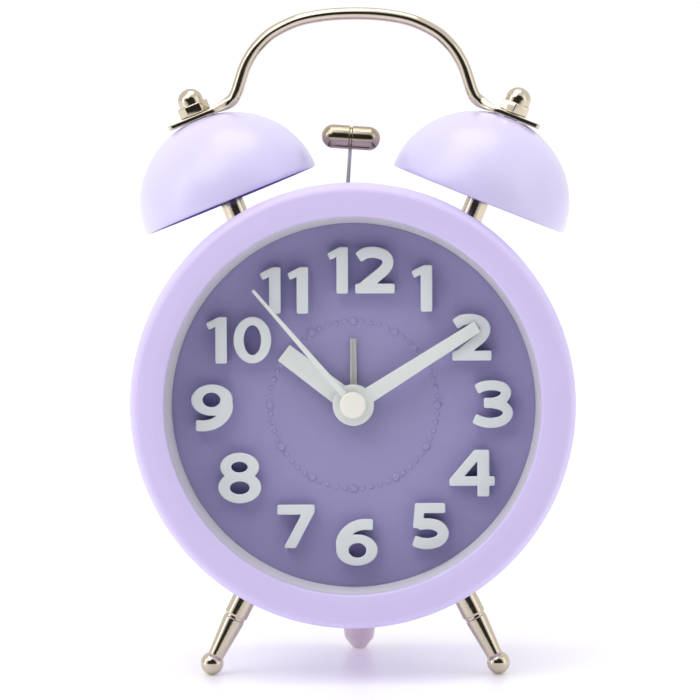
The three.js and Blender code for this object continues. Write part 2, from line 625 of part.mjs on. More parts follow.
function goingTrain() {
  const { pinion, centre, third, second, fifth } = TEETH;
  const toThird = moduleFor(CENTRE, THIRD, pinion, third);
  const toCentre = moduleFor(CENTRE, THIRD, centre, pinion);
  const toSecond = moduleFor(CENTRE, FIFTH, second, pinion);
  const toFifth = moduleFor(FIFTH, ROTOR, fifth, pinion);
  const arbor = () => rod(FINE, ...ARBOR_ENDS, 0, 0, 10);
  add("centre_wheel", gear(centre, toCentre, LEVEL.centre, 0, PIPE.minute + RUN), gearPlastic);

  const secondArbor = rod(PIPE.second, HANDS.second.y - 0.05, ARBOR_ENDS[1]);
  const secondPinion = gear(pinion, toThird, LEVEL.secondPinion);
  add("second_wheel", join(secondArbor, secondPinion, gear(second, toSecond, LEVEL.second)), gearPlastic);

  const thirdPhase = meshed(CENTRE, centre, 0, THIRD, pinion);
  const thirdPinion = gear(pinion, toCentre, LEVEL.thirdPinion, thirdPhase);
  const thirdWheel = gear(third, toThird, LEVEL.third, meshed(CENTRE, pinion, 0, THIRD, third));
  add("third_wheel", place(join(arbor(), thirdPinion, thirdWheel), THIRD), gearPlastic);

  const fifthPhase = meshed(CENTRE, second, 0, FIFTH, pinion);
  const fifthPinion = gear(pinion, toSecond, LEVEL.fifthPinion, fifthPhase);
  const fifthWheel = gear(fifth, toFifth, LEVEL.fifth);
  add("fifth_wheel", place(join(arbor(), fifthPinion, fifthWheel), FIFTH), gearPlastic);

  const rotorPinion = gear(pinion, toFifth, LEVEL.rotorPinion, meshed(FIFTH, fifth, 0, ROTOR, pinion));
  const magnet = rod(2.3, ...LEVEL.magnet, 0, 0, 20);
  add("rotor", place(join(arbor(), rotorPinion, magnet), ROTOR), steel);
}

// ---- stepping motor, circuit and movement housing ----
const DRIVE = { x: 3, z: -18.5, half: 8.5, radius: 3, y: 19.4 };

function stator() {
  const { x, z, half } = DRIVE;
  const outer = rectangle(x - half - 3, z - 2, x + half + 3, ROTOR[1] + 3.6);
  const sheet = plate(pierced(outer, [[...ROTOR, 2.9], [...FIFTH, 1.2]]), 18.3, 18.9, 8);
  return cut(sheet, block(x - half - 0.3, x + half + 0.3, 17, 20, z - 5, z + 4));
}

function driveCoil() {
  const { x, z, half, radius, y } = DRIVE;
  const bobbin = [
    [0, -half], [radius, -half], [radius, -half + 0.8], [radius - 0.4, -half + 0.8],
    [radius - 0.4, half - 0.8], [radius, half - 0.8], [radius, half], [0, half],
  ];
  const reel = alongX(turned(bobbin, 16)).translate(x, y, z);
  return join(reel, block(x - half - 2.5, x + half + 2.5, y - 0.4, y + 0.4, z - 1.4, z + 1.4));
}

function circuitBoard() {
  return plate(pierced(rectangle(-22, -24, -7, -4), [[-19, -7, 1.2]]), 21.6, 22.6, 8);
}

function quartzCrystal() {
  return alongX(rod(1.5, 0, 8)).translate(-18, 19.9, -20);
}

// Side walls on a front plate: the tray that holds the train.
function movementFront() {
  const { half, low, high, front, open, wall } = MOVEMENT;
  const outline = roundedRectangle(-half, low, half, high, 2);
  const hollow = roundedRectangle(-half + wall, low + wall, half - wall, high - wall, 1);
  const inside = plate(hollow, front + wall, open + 1, 3);
  return cut(plate(outline, front, open, 3), inside, rod(PIPE.alarm + RUN, 10, 14, 0, 0, 24));
}

// The bearing holes of the off-centre arbors, and one in the middle.
function bearings(middle) {
  const setting = [TIME_ARBOR, ALARM_ARBOR].map((at) => [...at, ARBOR + RUN]);
  const train = [THIRD, FIFTH, ROTOR].map((at) => [...at, FINE + RUN]);
  return [...setting, ...train, [...CENTRE, middle + RUN]];
}

function movementBack() {
  const { half, low, high, back, wall } = MOVEMENT;
  const sheet = roundedRectangle(-half, low, half, high, 2);
  return plate(pierced(sheet, bearings(PIPE.second)), back, back + wall, 5);
}

function gearBridge() {
  const { half, rise, front, thick } = BRIDGE;
  const sheet = roundedRectangle(-half, -rise, half, rise, 1.5);
  return plate(pierced(sheet, bearings(PIPE.minute)), front, front + thick, 5);
}

// ---- dial with raised numerals ----
const NUMERAL = { radius: 27, rise: 2.8, space: 1.3, weight: 2.2, thin: 2 };

function stroke(points, width, steps) {
  const line = new THREE.SplineCurve(points.map(([x, z]) => new THREE.Vector2(x, z)));
  const left = [];
  const right = [];
  for (let i = 0; i <= steps; i++) {
    const p = line.getPoint(i / steps);
    const along = line.getTangent(i / steps);
    const side = new THREE.Vector2(-along.y, along.x).multiplyScalar(width / 2);
    left.push(p.clone().add(side));
    right.unshift(p.clone().sub(side));
  }
  return new THREE.Shape([...left, ...right]);
}

// Each figure starts at 0, 0 in its lower left corner: shapes that are joined, then cut-outs.
const { weight, thin } = NUMERAL;
const SIX = {
  width: 8.6,
  height: 9.2,
  joined: [
    ellipse(4.5, 3.1, 4.1, 3.1),
    stroke([[7.7, 8.1], [5.7, 8.15], [3.8, 7.6], [2.2, 6.3], [1.45, 4.7], [1.6, 3.1]], weight, 8),
  ],
  cutOut: [ellipse(4.6, 3.05, 1.74, 1.43)],
};
const FIGURES = {
  0: {
    width: 7.5,
    height: 9.2,
    joined: [ellipse(3.75, 4.6, 3.75, 4.6)],
    cutOut: [ellipse(3.75, 4.6, 1.7, 2.95)],
  },
  1: {
    width: 4.15,
    height: 9.2,
    joined: [polygon([[1.85, 0], [4.15, 0], [4.15, 9.2], [2.5, 9.2], [0, 7.95], [0.6, 6.6], [1.85, 7.25]])],
  },
  2: {
    width: 7.9,
    height: 9.2,
    joined: [
      rectangle(0.1, 0, 7.9, 1.95),
      stroke(
        [[0.7, 7.1], [2.1, 7.95], [4, 8.1], [5.9, 7.5], [6.6, 6.2], [5.9, 4.7], [3.9, 3], [1.3, 0.95]],
        weight, 10,
      ),
    ],
  },
  3: {
    width: 8.1,
    height: 9.4,
    joined: [
      stroke(
        [[0.8, 7.6], [2.3, 8.25], [4.2, 8.4], [6, 8], [6.7, 7], [6, 5.7], [4.4, 5.05], [2.3, 4.95]],
        thin, 9,
      ),
      stroke(
        [[2.3, 4.95], [4.6, 4.8], [6.4, 4.1], [7.05, 2.8], [6, 1.5], [3.9, 1], [2.1, 1.2], [0.35, 1.9]],
        thin, 9,
      ),
    ],
  },
  4: {
    width: 9,
    height: 9.2,
    joined: [
      polygon([
        [0, 2.1], [5.5, 2.1], [5.5, 0], [7.9, 0], [7.9, 2.1], [9, 2.1], [9, 4], [7.9, 4], [7.9, 9.2],
        [4.9, 9.2], [0, 3.4],
      ]),
    ],
    cutOut: [polygon([[3, 4], [5.5, 4], [5.5, 6.9]])],
  },
  5: {
    width: 7.45,
    height: 9.05,
    joined: [
      polygon([[0.7, 9.05], [0.25, 4.1], [2.3, 4], [2.5, 7.05], [6.7, 7.05], [6.7, 9.05]]),
      stroke(
        [[1.3, 4.8], [3.4, 4.95], [5.4, 4.4], [6.3, 3], [5.4, 1.6], [3.5, 1.05], [1.9, 1.15], [0.4, 1.65]],
        weight, 10,
      ),
    ],
  },
  6: SIX,
  7: {
    width: 7.4,
    height: 8.6,
    joined: [polygon([[0, 6.6], [4.7, 6.6], [1.2, 0], [3.6, 0], [7.4, 7.1], [7.4, 8.6], [0, 8.6]])],
  },
  8: {
    width: 8.5,
    height: 10,
    joined: [ellipse(4.25, 7.2, 3.85, 2.8), ellipse(4.25, 3.15, 4.25, 3.15)],
    cutOut: [ellipse(4.2, 7.15, 1.62, 1.05), ellipse(4.25, 3.05, 1.94, 1.27)],
  },
  9: { ...SIX, turnedOver: true },
};

// [hour, its figures, nudges right and up that place it evenly by eye]
const HOURS = [
  [1, [1], 0.1, -0.4], [2, [2], 0, -0.2], [3, [3], 0.5, 0.1], [4, [4], 0, 0], [5, [5], 1.6, -0.5],
  [6, [6], 0.4, -0.1], [7, [7], 2.1, -0.5], [8, [8], 0.9, -0.8], [9, [9], -0.7, -0.4],
  [10, [1, 0], 0.8, -0.6], [11, [1, 1], -0.1, -0.7], [12, [1, 2], 1.6, -0.4],
];

function figureSolid({ width, height, joined, cutOut = [], turnedOver }) {
  const front = DIAL.front - NUMERAL.rise;
  const raised = join(...joined.map((shape) => plate(shape, front, DIAL.front + 0.4, 7)));
  const holes = cutOut.map((shape) => plate(shape, front - 1, DIAL.front, 6));
  const body = holes.length ? cut(raised, ...holes) : raised;
  return turnedOver ? body.rotateY(Math.PI).translate(width, 0, height) : body;
}

function numerals() {
  const made = [];
  for (const [hour, figures, right, up] of HOURS) {
    const angle = (hour * Math.PI) / 6;
    const drawn = figures.map((f) => FIGURES[f]);
    const total = drawn.reduce((sum, d) => sum + d.width, NUMERAL.space * (drawn.length - 1));
    let x = NUMERAL.radius * Math.sin(angle) + right - total / 2;
    const z = NUMERAL.radius * Math.cos(angle) + up;
    for (const d of drawn) {
      made.push(figureSolid(d).translate(x, 0, z - d.height / 2));
      x += d.width + NUMERAL.space;
    }
  }
  return made;
}

function dialPlate() {
  const outline = pierced(ellipse(0, 0, DIAL.radius, DIAL.radius), [[0, 0, DIAL.hole]]);
  const disc = plate(outline, DIAL.front, DIAL.back, 24);
  return join(disc, ...numerals());
}

// ---- assembly ----
const bells = [bellSet(-1, "left"), bellSet(1, "right")];
add("handle", handle(bells.map((b) => b.frame)), nickel);
const legHoles = [legSet(-1, "left"), legSet(1, "right")];
const footHole = rearFoot();
const hammerSlot = hammerSet();

add("front_bezel", frontBezel(), lilacPlastic);
add("lens", rod(DIAL.radius, LENS.front, LENS.back, 0, 0, ROUND), clearPlastic);
add("reflector_ring", reflectorRing(), reflectorGrey);
add("dial_plate", dialPlate(), dialPurple);
const shellHoles = [...bells.map((b) => b.hole), ...legHoles, footHole, hammerSlot];
add("case_shell", caseShell(shellHoles), lilacPlastic);
add("rear_cover", rearCover(), lilacPlastic);
add("battery_door", batteryDoor(), lilacPlastic);
add("battery_cell", batteryCell(), cellJacket);
add("battery_spring", batterySpring(), steel);
add("battery_contact", batteryContact(), steel);
add("cover_screw_left", coverScrew(-1), steel);
add("cover_screw_right", coverScrew(1), steel);
add("time_set_knob", knob(TIME_ARBOR), handWhite);
add("alarm_set_knob", knob(ALARM_ARBOR), handWhite);
add("alarm_switch", alarmSwitch(), handWhite);

add("alarm_hand", hand(HANDS.alarm, PIPE.alarm + TOUCH, 0), nickel);
add("hour_hand", hand(HANDS.hour, PIPE.hour + TOUCH, degrees(TIME.hour)), handWhite);
add("minute_hand", hand(HANDS.minute, PIPE.minute + TOUCH, degrees(TIME.minute)), handWhite);
add("second_hand", hand(HANDS.second, PIPE.second + TOUCH, degrees(TIME.second)), handWhite);
add("second_hand_cap", secondHandCap(), capWhite);

motionWork();
alarmWork();
goingTrain();
add("stator", stator(), steel);
add("drive_coil", driveCoil(), copper);
add("circuit_board", circuitBoard(), boardGreen);
add("quartz_crystal", quartzCrystal(), steel);
add("gear_bridge", gearBridge(), innerPlastic);
add("movement_front", movementFront(), innerPlastic);
add("movement_back", movementBack(), innerPlastic);

clock.rotation.x = -LEAN;
const alarmClock = new THREE.Group();
alarmClock.add(clock);
const box = new THREE.Box3().setFromObject(alarmClock, true);
clock.position.set(-(box.min.x + box.max.x) / 2, -(box.min.y + box.max.y) / 2, -box.min.z);

export default alarmClock;
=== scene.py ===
import json
import math

import bmesh
import bpy
import numpy as np
from mathutils import Matrix, Vector


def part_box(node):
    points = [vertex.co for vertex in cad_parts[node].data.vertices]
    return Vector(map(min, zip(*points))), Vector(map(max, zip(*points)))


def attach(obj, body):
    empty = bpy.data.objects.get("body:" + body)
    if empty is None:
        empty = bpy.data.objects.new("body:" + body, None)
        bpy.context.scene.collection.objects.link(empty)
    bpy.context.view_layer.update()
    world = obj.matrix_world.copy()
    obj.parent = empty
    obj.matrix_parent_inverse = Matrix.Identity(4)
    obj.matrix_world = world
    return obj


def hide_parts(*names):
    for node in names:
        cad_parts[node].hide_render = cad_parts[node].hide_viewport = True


# Twin-bell alarm clock. Shapes are drawn in millimetres in the clock's own frame: x right, y back from
# the bezel's front, z up, with the hands' axis on x = 0, z = 0. toRow then leans the clock back.
print("frame: loading the clock")
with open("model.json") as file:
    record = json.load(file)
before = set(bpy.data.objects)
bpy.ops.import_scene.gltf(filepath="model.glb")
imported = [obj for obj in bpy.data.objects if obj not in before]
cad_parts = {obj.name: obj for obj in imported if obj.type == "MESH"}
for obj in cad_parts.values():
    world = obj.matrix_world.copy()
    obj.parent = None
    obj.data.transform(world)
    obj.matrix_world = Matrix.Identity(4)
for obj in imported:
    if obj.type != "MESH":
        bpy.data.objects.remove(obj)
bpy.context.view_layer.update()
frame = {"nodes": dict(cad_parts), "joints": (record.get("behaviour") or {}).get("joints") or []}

joints = {joint["name"]: joint for joint in frame["joints"]}
handAxis = Vector(joints["second_hand_turn"]["axis"])
handPoint = Vector(joints["second_hand_turn"]["pos_m"])
lean = math.atan2(-handAxis.z, handAxis.y)
mm = 0.001
trainDepth = 20  # y of the point that the hands' joints name
toRow = (
    Matrix.Translation(handPoint - handAxis * trainDepth * mm)
    @ Matrix.Rotation(-lean, 4, "X")
    @ Matrix.Scale(mm, 4)
)


# mesh helpers
def arcPoints(centre, radius, start, end, steps):
    return [
        (
            centre[0] + radius * math.cos(math.radians(start + (end - start) * i / steps)),
            centre[1] + radius * math.sin(math.radians(start + (end - start) * i / steps)),
        )
        for i in range(steps + 1)
    ]


def softened(corners, closed=False, steps=5):
    # corners are (a, b) or (a, b, radius): a radius turns the corner into an arc
    points = []
    count = len(corners)
    for i, corner in enumerate(corners):
        here = Vector(corner[:2])
        radius = corner[2] if len(corner) > 2 else 0
        if not radius or (not closed and i in (0, count - 1)):
            points.append(here)
            continue
        before = (Vector(corners[i - 1][:2]) - here).normalized()
        after = (Vector(corners[(i + 1) % count][:2]) - here).normalized()
        angle = before.angle(after)
        reach = radius / math.tan(angle / 2)
        start = here + before * reach
        end = here + after * reach
        centre = here + (before + after).normalized() * (radius / math.sin(angle / 2))
        first = start - centre
        last = end - centre
        turn = math.atan2(first.x * last.y - first.y * last.x, first.dot(last))
        for k in range(steps + 1):
            c, s = math.cos(turn * k / steps), math.sin(turn * k / steps)
            points.append(centre + Vector((c * first.x - s * first.y, s * first.x + c * first.y)))
    return points


def lathe(bm, profile, steps=128, place=Matrix(), closed=False):
    # turns (radius, y) points about the y axis; points on the axis become poles
    rings = []
    for r, y in profile:
        if abs(r) < 1e-6:
            rings.append([bm.verts.new(place @ Vector((0, y, 0)))])
            continue
        ring = []
        for k in range(steps):
            a = 2 * math.pi * k / steps
            ring.append(bm.verts.new(place @ Vector((r * math.sin(a), y, r * math.cos(a)))))
        rings.append(ring)
    if closed:
        rings.append(rings[0])
    for low, high in zip(rings, rings[1:]):
        bridge(bm, low, high)


def bridge(bm, low, high):
    steps = max(len(low), len(high))
    for k in range(steps):
        n = (k + 1) % steps
        if len(low) == 1:
            bm.faces.new((low[0], high[n], high[k]))
        elif len(high) == 1:
            bm.faces.new((low[k], low[n], high[0]))
        else:
            bm.faces.new((low[k], low[n], high[n], high[k]))


def inset(loop, distance):
    # moves each point of a closed loop inwards along the mean of its two edge normals
    count = len(loop)
    moved = []
    for i in range(count):
        before = (loop[i] - loop[i - 1]).normalized()
        after = (loop[(i + 1) % count] - loop[i]).normalized()
        tangent = (before + after).normalized()
        moved.append(loop[i] + Vector((-tangent.y, tangent.x)) * distance)
    return moved


def slab(bm, loops, profile, capBack=True, place=Matrix()):
    # walls over closed outlines: profile is (inset, y) from front to back, then both ends are filled
    ends = []
    for inwards, y in profile:
        rings = []
        for loop in loops:
            shrunk = inset(loop, inwards) if inwards else loop
            rings.append([bm.verts.new(place @ Vector((p.x, y, p.y))) for p in shrunk])
        ends.append(rings)
    for low, high in zip(ends, ends[1:]):
        for a, b in zip(low, high):
            bridge(bm, a, b)
    for k in (0, -1) if capBack else (0,):
        rims = [bm.edges.get((ring[i - 1], ring[i])) for ring in ends[k] for i in range(len(ring))]
        bmesh.ops.triangle_fill(bm, edges=rims, use_beauty=True)


def edged(y0, y1, radius, steps=4, both=True):
    # (inset, y) rows of a slab whose front edge, and back edge if both, is rounded
    rows = [(radius - p[0], y0 + radius - p[1]) for p in arcPoints((0, 0), radius, 90, 0, steps)]
    back = [(radius - p[0], y1 - radius + p[1]) for p in arcPoints((0, 0), radius, 0, 90, steps)]
    return rows + (back if both else [(0, y1)])


def circle(x, z, radius, steps=48, clockwise=False):
    turn = -1 if clockwise else 1
    angles = [turn * 2 * math.pi * i / steps for i in range(steps)]
    return [Vector((x + radius * math.cos(a), z + radius * math.sin(a))) for a in angles]


def roundedBox(x0, z0, x1, z1, radius, steps=6):
    return softened(
        [(x0, z0, radius), (x1, z0, radius), (x1, z1, radius), (x0, z1, radius)], closed=True, steps=steps
    )


def meshObject(name, bm, finishes, sharp=38, place=toRow):
    bmesh.ops.remove_doubles(bm, verts=bm.verts, dist=1e-5)
    bmesh.ops.recalc_face_normals(bm, faces=bm.faces)
    bmesh.ops.transform(bm, matrix=place, verts=bm.verts)
    mesh = bpy.data.meshes.new(name)
    bm.to_mesh(mesh)
    bm.free()
    obj = bpy.data.objects.new(name, mesh)
    bpy.context.scene.collection.objects.link(obj)
    for finish in finishes:
        mesh.materials.append(finish)
    smooth(mesh, sharp)
    return obj


def turnedPiece(name, profile, steps, *finishes, place=Matrix(), closed=False, sharp=38):
    bm = bmesh.new()
    lathe(bm, profile, steps, place, closed)
    return meshObject(name, bm, finishes, sharp)


def smooth(mesh, sharp):
    mesh.polygons.foreach_set("use_smooth", [True] * len(mesh.polygons))
    mesh.set_sharp_from_angle(angle=math.radians(sharp))


def settle(obj, body, slot, *nodes):
    # the finished piece rides on its body and stands for its CAD nodes
    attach(obj, body)
    if nodes:
        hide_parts(*nodes)


def applied(obj, sharp=38):
    # turns an object with modifiers into one with a plain mesh
    graph = bpy.context.evaluated_depsgraph_get()
    mesh = bpy.data.meshes.new_from_object(obj.evaluated_get(graph))
    old = obj.data
    obj.modifiers.clear()
    obj.data = mesh
    bpy.data.meshes.remove(old)
    smooth(mesh, sharp)
    return obj


def carve(obj, tools, sharp=38):
    # cuts closed tool shapes out of a piece
    for tool in tools:
        cutter = obj.modifiers.new("cut", "BOOLEAN")
        cutter.operation = "DIFFERENCE"
        cutter.solver = "EXACT"
        cutter.object = tool
    applied(obj, sharp)
    for tool in tools:
        mesh = tool.data
        bpy.data.objects.remove(tool)
        bpy.data.meshes.remove(mesh)
    return obj


def toolBlock(x0, x1, y0, y1, z0, z1, radius=0.3):
    bm = bmesh.new()
    slab(bm, [roundedBox(x0, z0, x1, z1, radius)], [(0, y0), (0, y1)])
    return meshObject("tool", bm, [])


def toolRod(radius, y0, y1, x=0, z=0, steps=64, place=Matrix()):
    bm = bmesh.new()
    move = place @ Matrix.Translation((x, 0, z))
    lathe(bm, [(0, y0), (radius, y0), (radius, y1), (0, y1)], steps, move)
    return meshObject("tool", bm, [])


def along(x, y, z, dirX, dirZ):
    # a frame whose y points along a direction in the clock's x-z plane
    return Matrix(((dirZ, dirX, 0, x), (0, 0, -1, y), (-dirX, dirZ, 0, z), (0, 0, 0, 1)))


# shader node groups
def newGroup(name, inputs, outputs):
    group = bpy.data.node_groups.new(name, "ShaderNodeTree")
    for label, kind, value in inputs:
        socket = group.interface.new_socket(label, in_out="INPUT", socket_type=kind)
        socket.default_value = value
    for label, kind in outputs:
        group.interface.new_socket(label, in_out="OUTPUT", socket_type=kind)
    return group


def node(tree, kind, values=(), **settings):
    made = tree.nodes.new(kind)
    for key, value in settings.items():
        setattr(made, key, value)
    for key, value in dict(values).items():
        made.inputs[key].default_value = value
    return made


def wire(tree, source, output, target, socket):
    tree.links.new(source.outputs[output], target.inputs[socket])


def makeSkinGroup():
    # moulded or enamelled skin on Object coordinates: slow tone drift, fine height and roughness drift
    number = "NodeSocketFloat"
    group = newGroup(
        "surfaceSkin",
        [
            ("Tone", "NodeSocketColor", (0.5, 0.5, 0.5, 1)),
            ("Deep", "NodeSocketColor", (0.4, 0.4, 0.4, 1)),
            ("Patch Scale", number, 60),
            ("Grain Scale", number, 3000),
            ("Roughness", number, 0.4),
            ("Roughness Drift", number, 0.08),
        ],
        [("Color", "NodeSocketColor"), ("Roughness", number), ("Height", number)],
    )
    enter = node(group, "NodeGroupInput")
    leave = node(group, "NodeGroupOutput")
    place = node(group, "ShaderNodeTexCoord")
    patches = node(group, "ShaderNodeTexNoise", {"Detail": 3, "Roughness": 0.55})
    grain = node(group, "ShaderNodeTexNoise", {"Detail": 2, "Roughness": 0.6})
    mix = node(group, "ShaderNodeMix", data_type="RGBA")
    drift = node(group, "ShaderNodeMath", operation="SUBTRACT")
    drift.inputs[1].default_value = 0.5
    swing = node(group, "ShaderNodeMath", operation="MULTIPLY")
    total = node(group, "ShaderNodeMath", operation="ADD")
    for texture, scale in ((patches, "Patch Scale"), (grain, "Grain Scale")):
        wire(group, place, "Object", texture, "Vector")
        wire(group, enter, scale, texture, "Scale")
    wire(group, patches, "Fac", mix, "Factor")
    wire(group, enter, "Tone", mix, "A")
    wire(group, enter, "Deep", mix, "B")
    wire(group, mix, "Result", leave, "Color")
    wire(group, grain, "Fac", drift, 0)
    wire(group, drift, 0, swing, 0)
    wire(group, enter, "Roughness Drift", swing, 1)
    wire(group, swing, 0, total, 0)
    wire(group, enter, "Roughness", total, 1)
    wire(group, total, 0, leave, "Roughness")
    wire(group, grain, "Fac", leave, "Height")
    return group


print("materials: skin group")
skinGroup = makeSkinGroup()


def skinned(
    name, tone, deep, roughness, drift=0.08, bump=0.02, patch=60, grain=3000, metallic=0.0, **shaderValues
):
    # a Principled material whose colour, roughness and bump come from the skin group
    material = bpy.data.materials.new(name)
    material.use_nodes = True
    tree = material.node_tree
    shader = tree.nodes["Principled BSDF"]
    shader.inputs["Metallic"].default_value = metallic
    for key, value in shaderValues.items():
        shader.inputs[key.replace("_", " ")].default_value = value
    skin = node(tree, "ShaderNodeGroup", node_tree=skinGroup)
    values = {"Tone": (*tone, 1), "Deep": (*deep, 1), "Patch Scale": patch, "Grain Scale": grain}
    values.update({"Roughness": roughness, "Roughness Drift": drift})
    for label, value in values.items():
        skin.inputs[label].default_value = value
    height = node(tree, "ShaderNodeBump", {"Strength": bump, "Distance": 0.0002})
    wire(tree, skin, "Color", shader, "Base Color")
    wire(tree, skin, "Roughness", shader, "Roughness")
    wire(tree, skin, "Height", height, "Height")
    wire(tree, height, "Normal", shader, "Normal")
    return material


def tone(red, green, blue):
    # an sRGB colour in 0-255 as scene-linear values
    def linear(value):
        v = value / 255
        return v / 12.92 if v <= 0.04045 else ((v + 0.055) / 1.055) ** 2.4

    return (linear(red), linear(green), linear(blue))


def metal(name, bright, deep, roughness, grain=1800, **values):
    return skinned(name, bright, deep, roughness, grain=grain, metallic=1.0, **values)


finish = {
    "lilac": skinned("lilacPlastic", tone(217, 205, 248), tone(213, 200, 245), 0.4, bump=0.06, grain=2600),
    "bell": skinned(
        "bellEnamel", tone(220, 213, 249), tone(216, 208, 247), 0.3, drift=0.04, grain=900,
        Coat_Weight=0.6, Coat_Roughness=0.3,
    ),
    "bellInside": skinned("bellInside", tone(128, 112, 196), tone(118, 102, 186), 0.4, bump=0.05, grain=900),
    "dial": skinned("dialPurple", tone(160, 153, 199), tone(155, 148, 194), 0.45, bump=0.12, grain=4200),
    "figure": skinned("figureTops", tone(226, 232, 232), tone(218, 225, 227), 0.45, bump=0.05),
    "hand": skinned("handWhite", tone(230, 235, 232), tone(224, 229, 226), 0.42, bump=0.04),
    "cap": skinned("capWhite", tone(244, 243, 236), tone(240, 239, 230), 0.3, bump=0.03),
    "reflector": skinned("reflectorGrey", tone(222, 221, 226), tone(216, 215, 221), 0.5, bump=0.08),
    "nickel": metal("nickelPlate", tone(214, 204, 186), tone(200, 189, 170), 0.12, drift=0.06, bump=0.03),
    # painted shade: a darker copy of the nickel plate for the hammer head, standing for the shade it sits in
    # between the bells
    "shadedNickel": metal("shadedNickelPlate", tone(184, 172, 154), tone(168, 156, 138), 0.16, bump=0.03),
    "satinSteel": metal("satinSteel", tone(222, 221, 218), tone(208, 208, 205), 0.5, bump=0.05, grain=2400),
    "steel": metal(
        "zincSteel", tone(196, 198, 202), tone(178, 180, 184), 0.32, drift=0.15, bump=0.1, grain=2400
    ),
    "copper": metal("copperWire", tone(190, 110, 66), tone(160, 84, 48), 0.3, bump=0.2, grain=5000),
    "foot": skinned("footPlastic", tone(240, 224, 234), tone(233, 214, 226), 0.4, bump=0.08),
    "inner": skinned("innerPlastic", tone(232, 229, 220), tone(222, 218, 207), 0.55, bump=0.1),
    "gear": skinned("gearPlastic", tone(243, 238, 224), tone(234, 228, 210), 0.42, bump=0.05),
    "board": skinned("boardGreen", tone(40, 104, 68), tone(30, 86, 54), 0.35, drift=0.2, bump=0.15, patch=300),
    "jacket": skinned("cellJacket", tone(58, 62, 70), tone(48, 52, 60), 0.3, bump=0.03),
}


def clearPlastic():
    # the lens lets lamps through to the dial, so shadow rays pass it
    material = bpy.data.materials.new("clearLens")
    material.use_nodes = True
    tree = material.node_tree
    shader = tree.nodes["Principled BSDF"]
    plain = {"Base Color": (1, 1, 1, 1), "Metallic": 0, "Transmission Weight": 1, "IOR": 1.12}
    for label, value in plain.items():
        shader.inputs[label].default_value = value
    place = node(tree, "ShaderNodeTexCoord")
    wipe = node(tree, "ShaderNodeTexNoise", {"Scale": 120.0, "Detail": 2})
    spread = node(tree, "ShaderNodeMapRange", {"To Min": 0.0, "To Max": 0.02})
    through = node(tree, "ShaderNodeBsdfTransparent")
    path = node(tree, "ShaderNodeLightPath")
    both = node(tree, "ShaderNodeMath", operation="MAXIMUM")
    mix = node(tree, "ShaderNodeMixShader")
    wire(tree, place, "Object", wipe, "Vector")
    wire(tree, wipe, "Fac", spread, "Value")
    wire(tree, spread, "Result", shader, "Roughness")
    wire(tree, path, "Is Shadow Ray", both, 0)
    wire(tree, path, "Is Diffuse Ray", both, 1)
    wire(tree, both, 0, mix, "Fac")
    wire(tree, shader, "BSDF", mix, 1)
    wire(tree, through, "BSDF", mix, 2)
    tree.links.new(mix.outputs["Shader"], tree.nodes["Material Output"].inputs["Surface"])
    return material


finish["lens"] = clearPlastic()

# case front: bezel, lens, reflector ring
print("case: bezel, lens and reflector ring")
rim = {"outer": 44, "inner": 37.2, "depth": 9.6, "seat": 38.8, "lip": 1.9, "crest": 39.4, "steps": 256}
rim.update(grooveOut=42.4, grooveIn=40.4, grooveFloor=3.4)  # the hollow behind the bezel's face
shell = {"outer": 43, "inner": 41.4, "front": 9.9, "back": 46}
dial = {"front": 10, "back": 11.4, "radius": 38.5, "hole": 3.5, "edge": 35.8}
lens = {"front": 2, "back": 3.4}


def makeBezel():
    profile = softened(
        [
            (rim["inner"], rim["lip"]),
            (rim["inner"], 0.3, 0.7),
            (rim["crest"], 0.0, 3.0),
            (rim["outer"] - 0.95, 0.24, 1.6),
            (rim["outer"], 3.2, 2.0),
            (rim["outer"], rim["depth"], 0.25),
            (rim["grooveOut"], rim["depth"]),
            (rim["grooveOut"], rim["grooveFloor"]),
            (rim["grooveIn"], rim["grooveFloor"]),
            (rim["grooveIn"], rim["depth"]),
            (rim["seat"], rim["depth"]),
            (rim["seat"], rim["lip"]),
        ],
        closed=True,
        steps=8,
    )
    bezel = turnedPiece("bezelRing", profile, rim["steps"], finish["lilac"], closed=True)
    settle(bezel, "clock", "lilac_plastic", "front_bezel")


def makeLens():
    front, back, radius = lens["front"], lens["back"], dial["radius"]
    profile = softened([(0, front), (radius, front, 0.3), (radius, back, 0.3), (0, back)])
    disc = turnedPiece("lensDisc", profile, 128, finish["lens"])
    settle(disc, "clock", "lens_clear", "lens")


def makeReflector():
    front, back, radius = lens["back"] + 0.2, dial["front"] - 0.2, dial["radius"]
    corners = [(rim["inner"], front), (radius, front), (radius, back), (dial["edge"], back, 0.15)]
    profile = softened(corners, closed=True)
    ring = turnedPiece("reflectorCone", profile, rim["steps"], finish["reflector"], closed=True)
    settle(ring, "clock", "reflector_grey", "reflector_ring")


makeBezel()
makeLens()
makeReflector()

# dial: plate, ring of dots, raised figures
print("dial: plate and figures")
figure = {"rise": 2.8, "paint": 1.3, "ring": 27, "space": 1.3, "weight": 2.2, "thin": 2.0, "corner": 0.28}
figure.update(grid=0.11, margin=0.8, edge=0.22)


def smoothLine(points, count):
    # an even Catmull-Rom line through the points
    points = [Vector(p) for p in points]
    ends = [2 * points[0] - points[1], *points, 2 * points[-1] - points[-2]]
    dense = []
    for i in range(1, len(ends) - 2):
        a, b, c, d = ends[i - 1 : i + 3]
        for k in range(16):
            t = k / 16
            bend = (2 * a - 5 * b + 4 * c - d) * t * t
            dense.append(0.5 * (2 * b + (c - a) * t + bend + (3 * b - a - 3 * c + d) * t**3))
    dense.append(points[-1])
    step = max(1, len(dense) // count)
    return dense[::step] + ([dense[-1]] if (len(dense) - 1) % step else [])


def stroke(points, width, count=40):
    line = smoothLine(points, count)
    left, right = [], []
    for i, p in enumerate(line):
        ahead = line[min(i + 1, len(line) - 1)] - line[max(i - 1, 0)]
        side = Vector((-ahead.y, ahead.x)).normalized() * width / 2
        left.append(p + side)
        right.append(p - side)
    return [tuple(p) for p in left + right[::-1]]


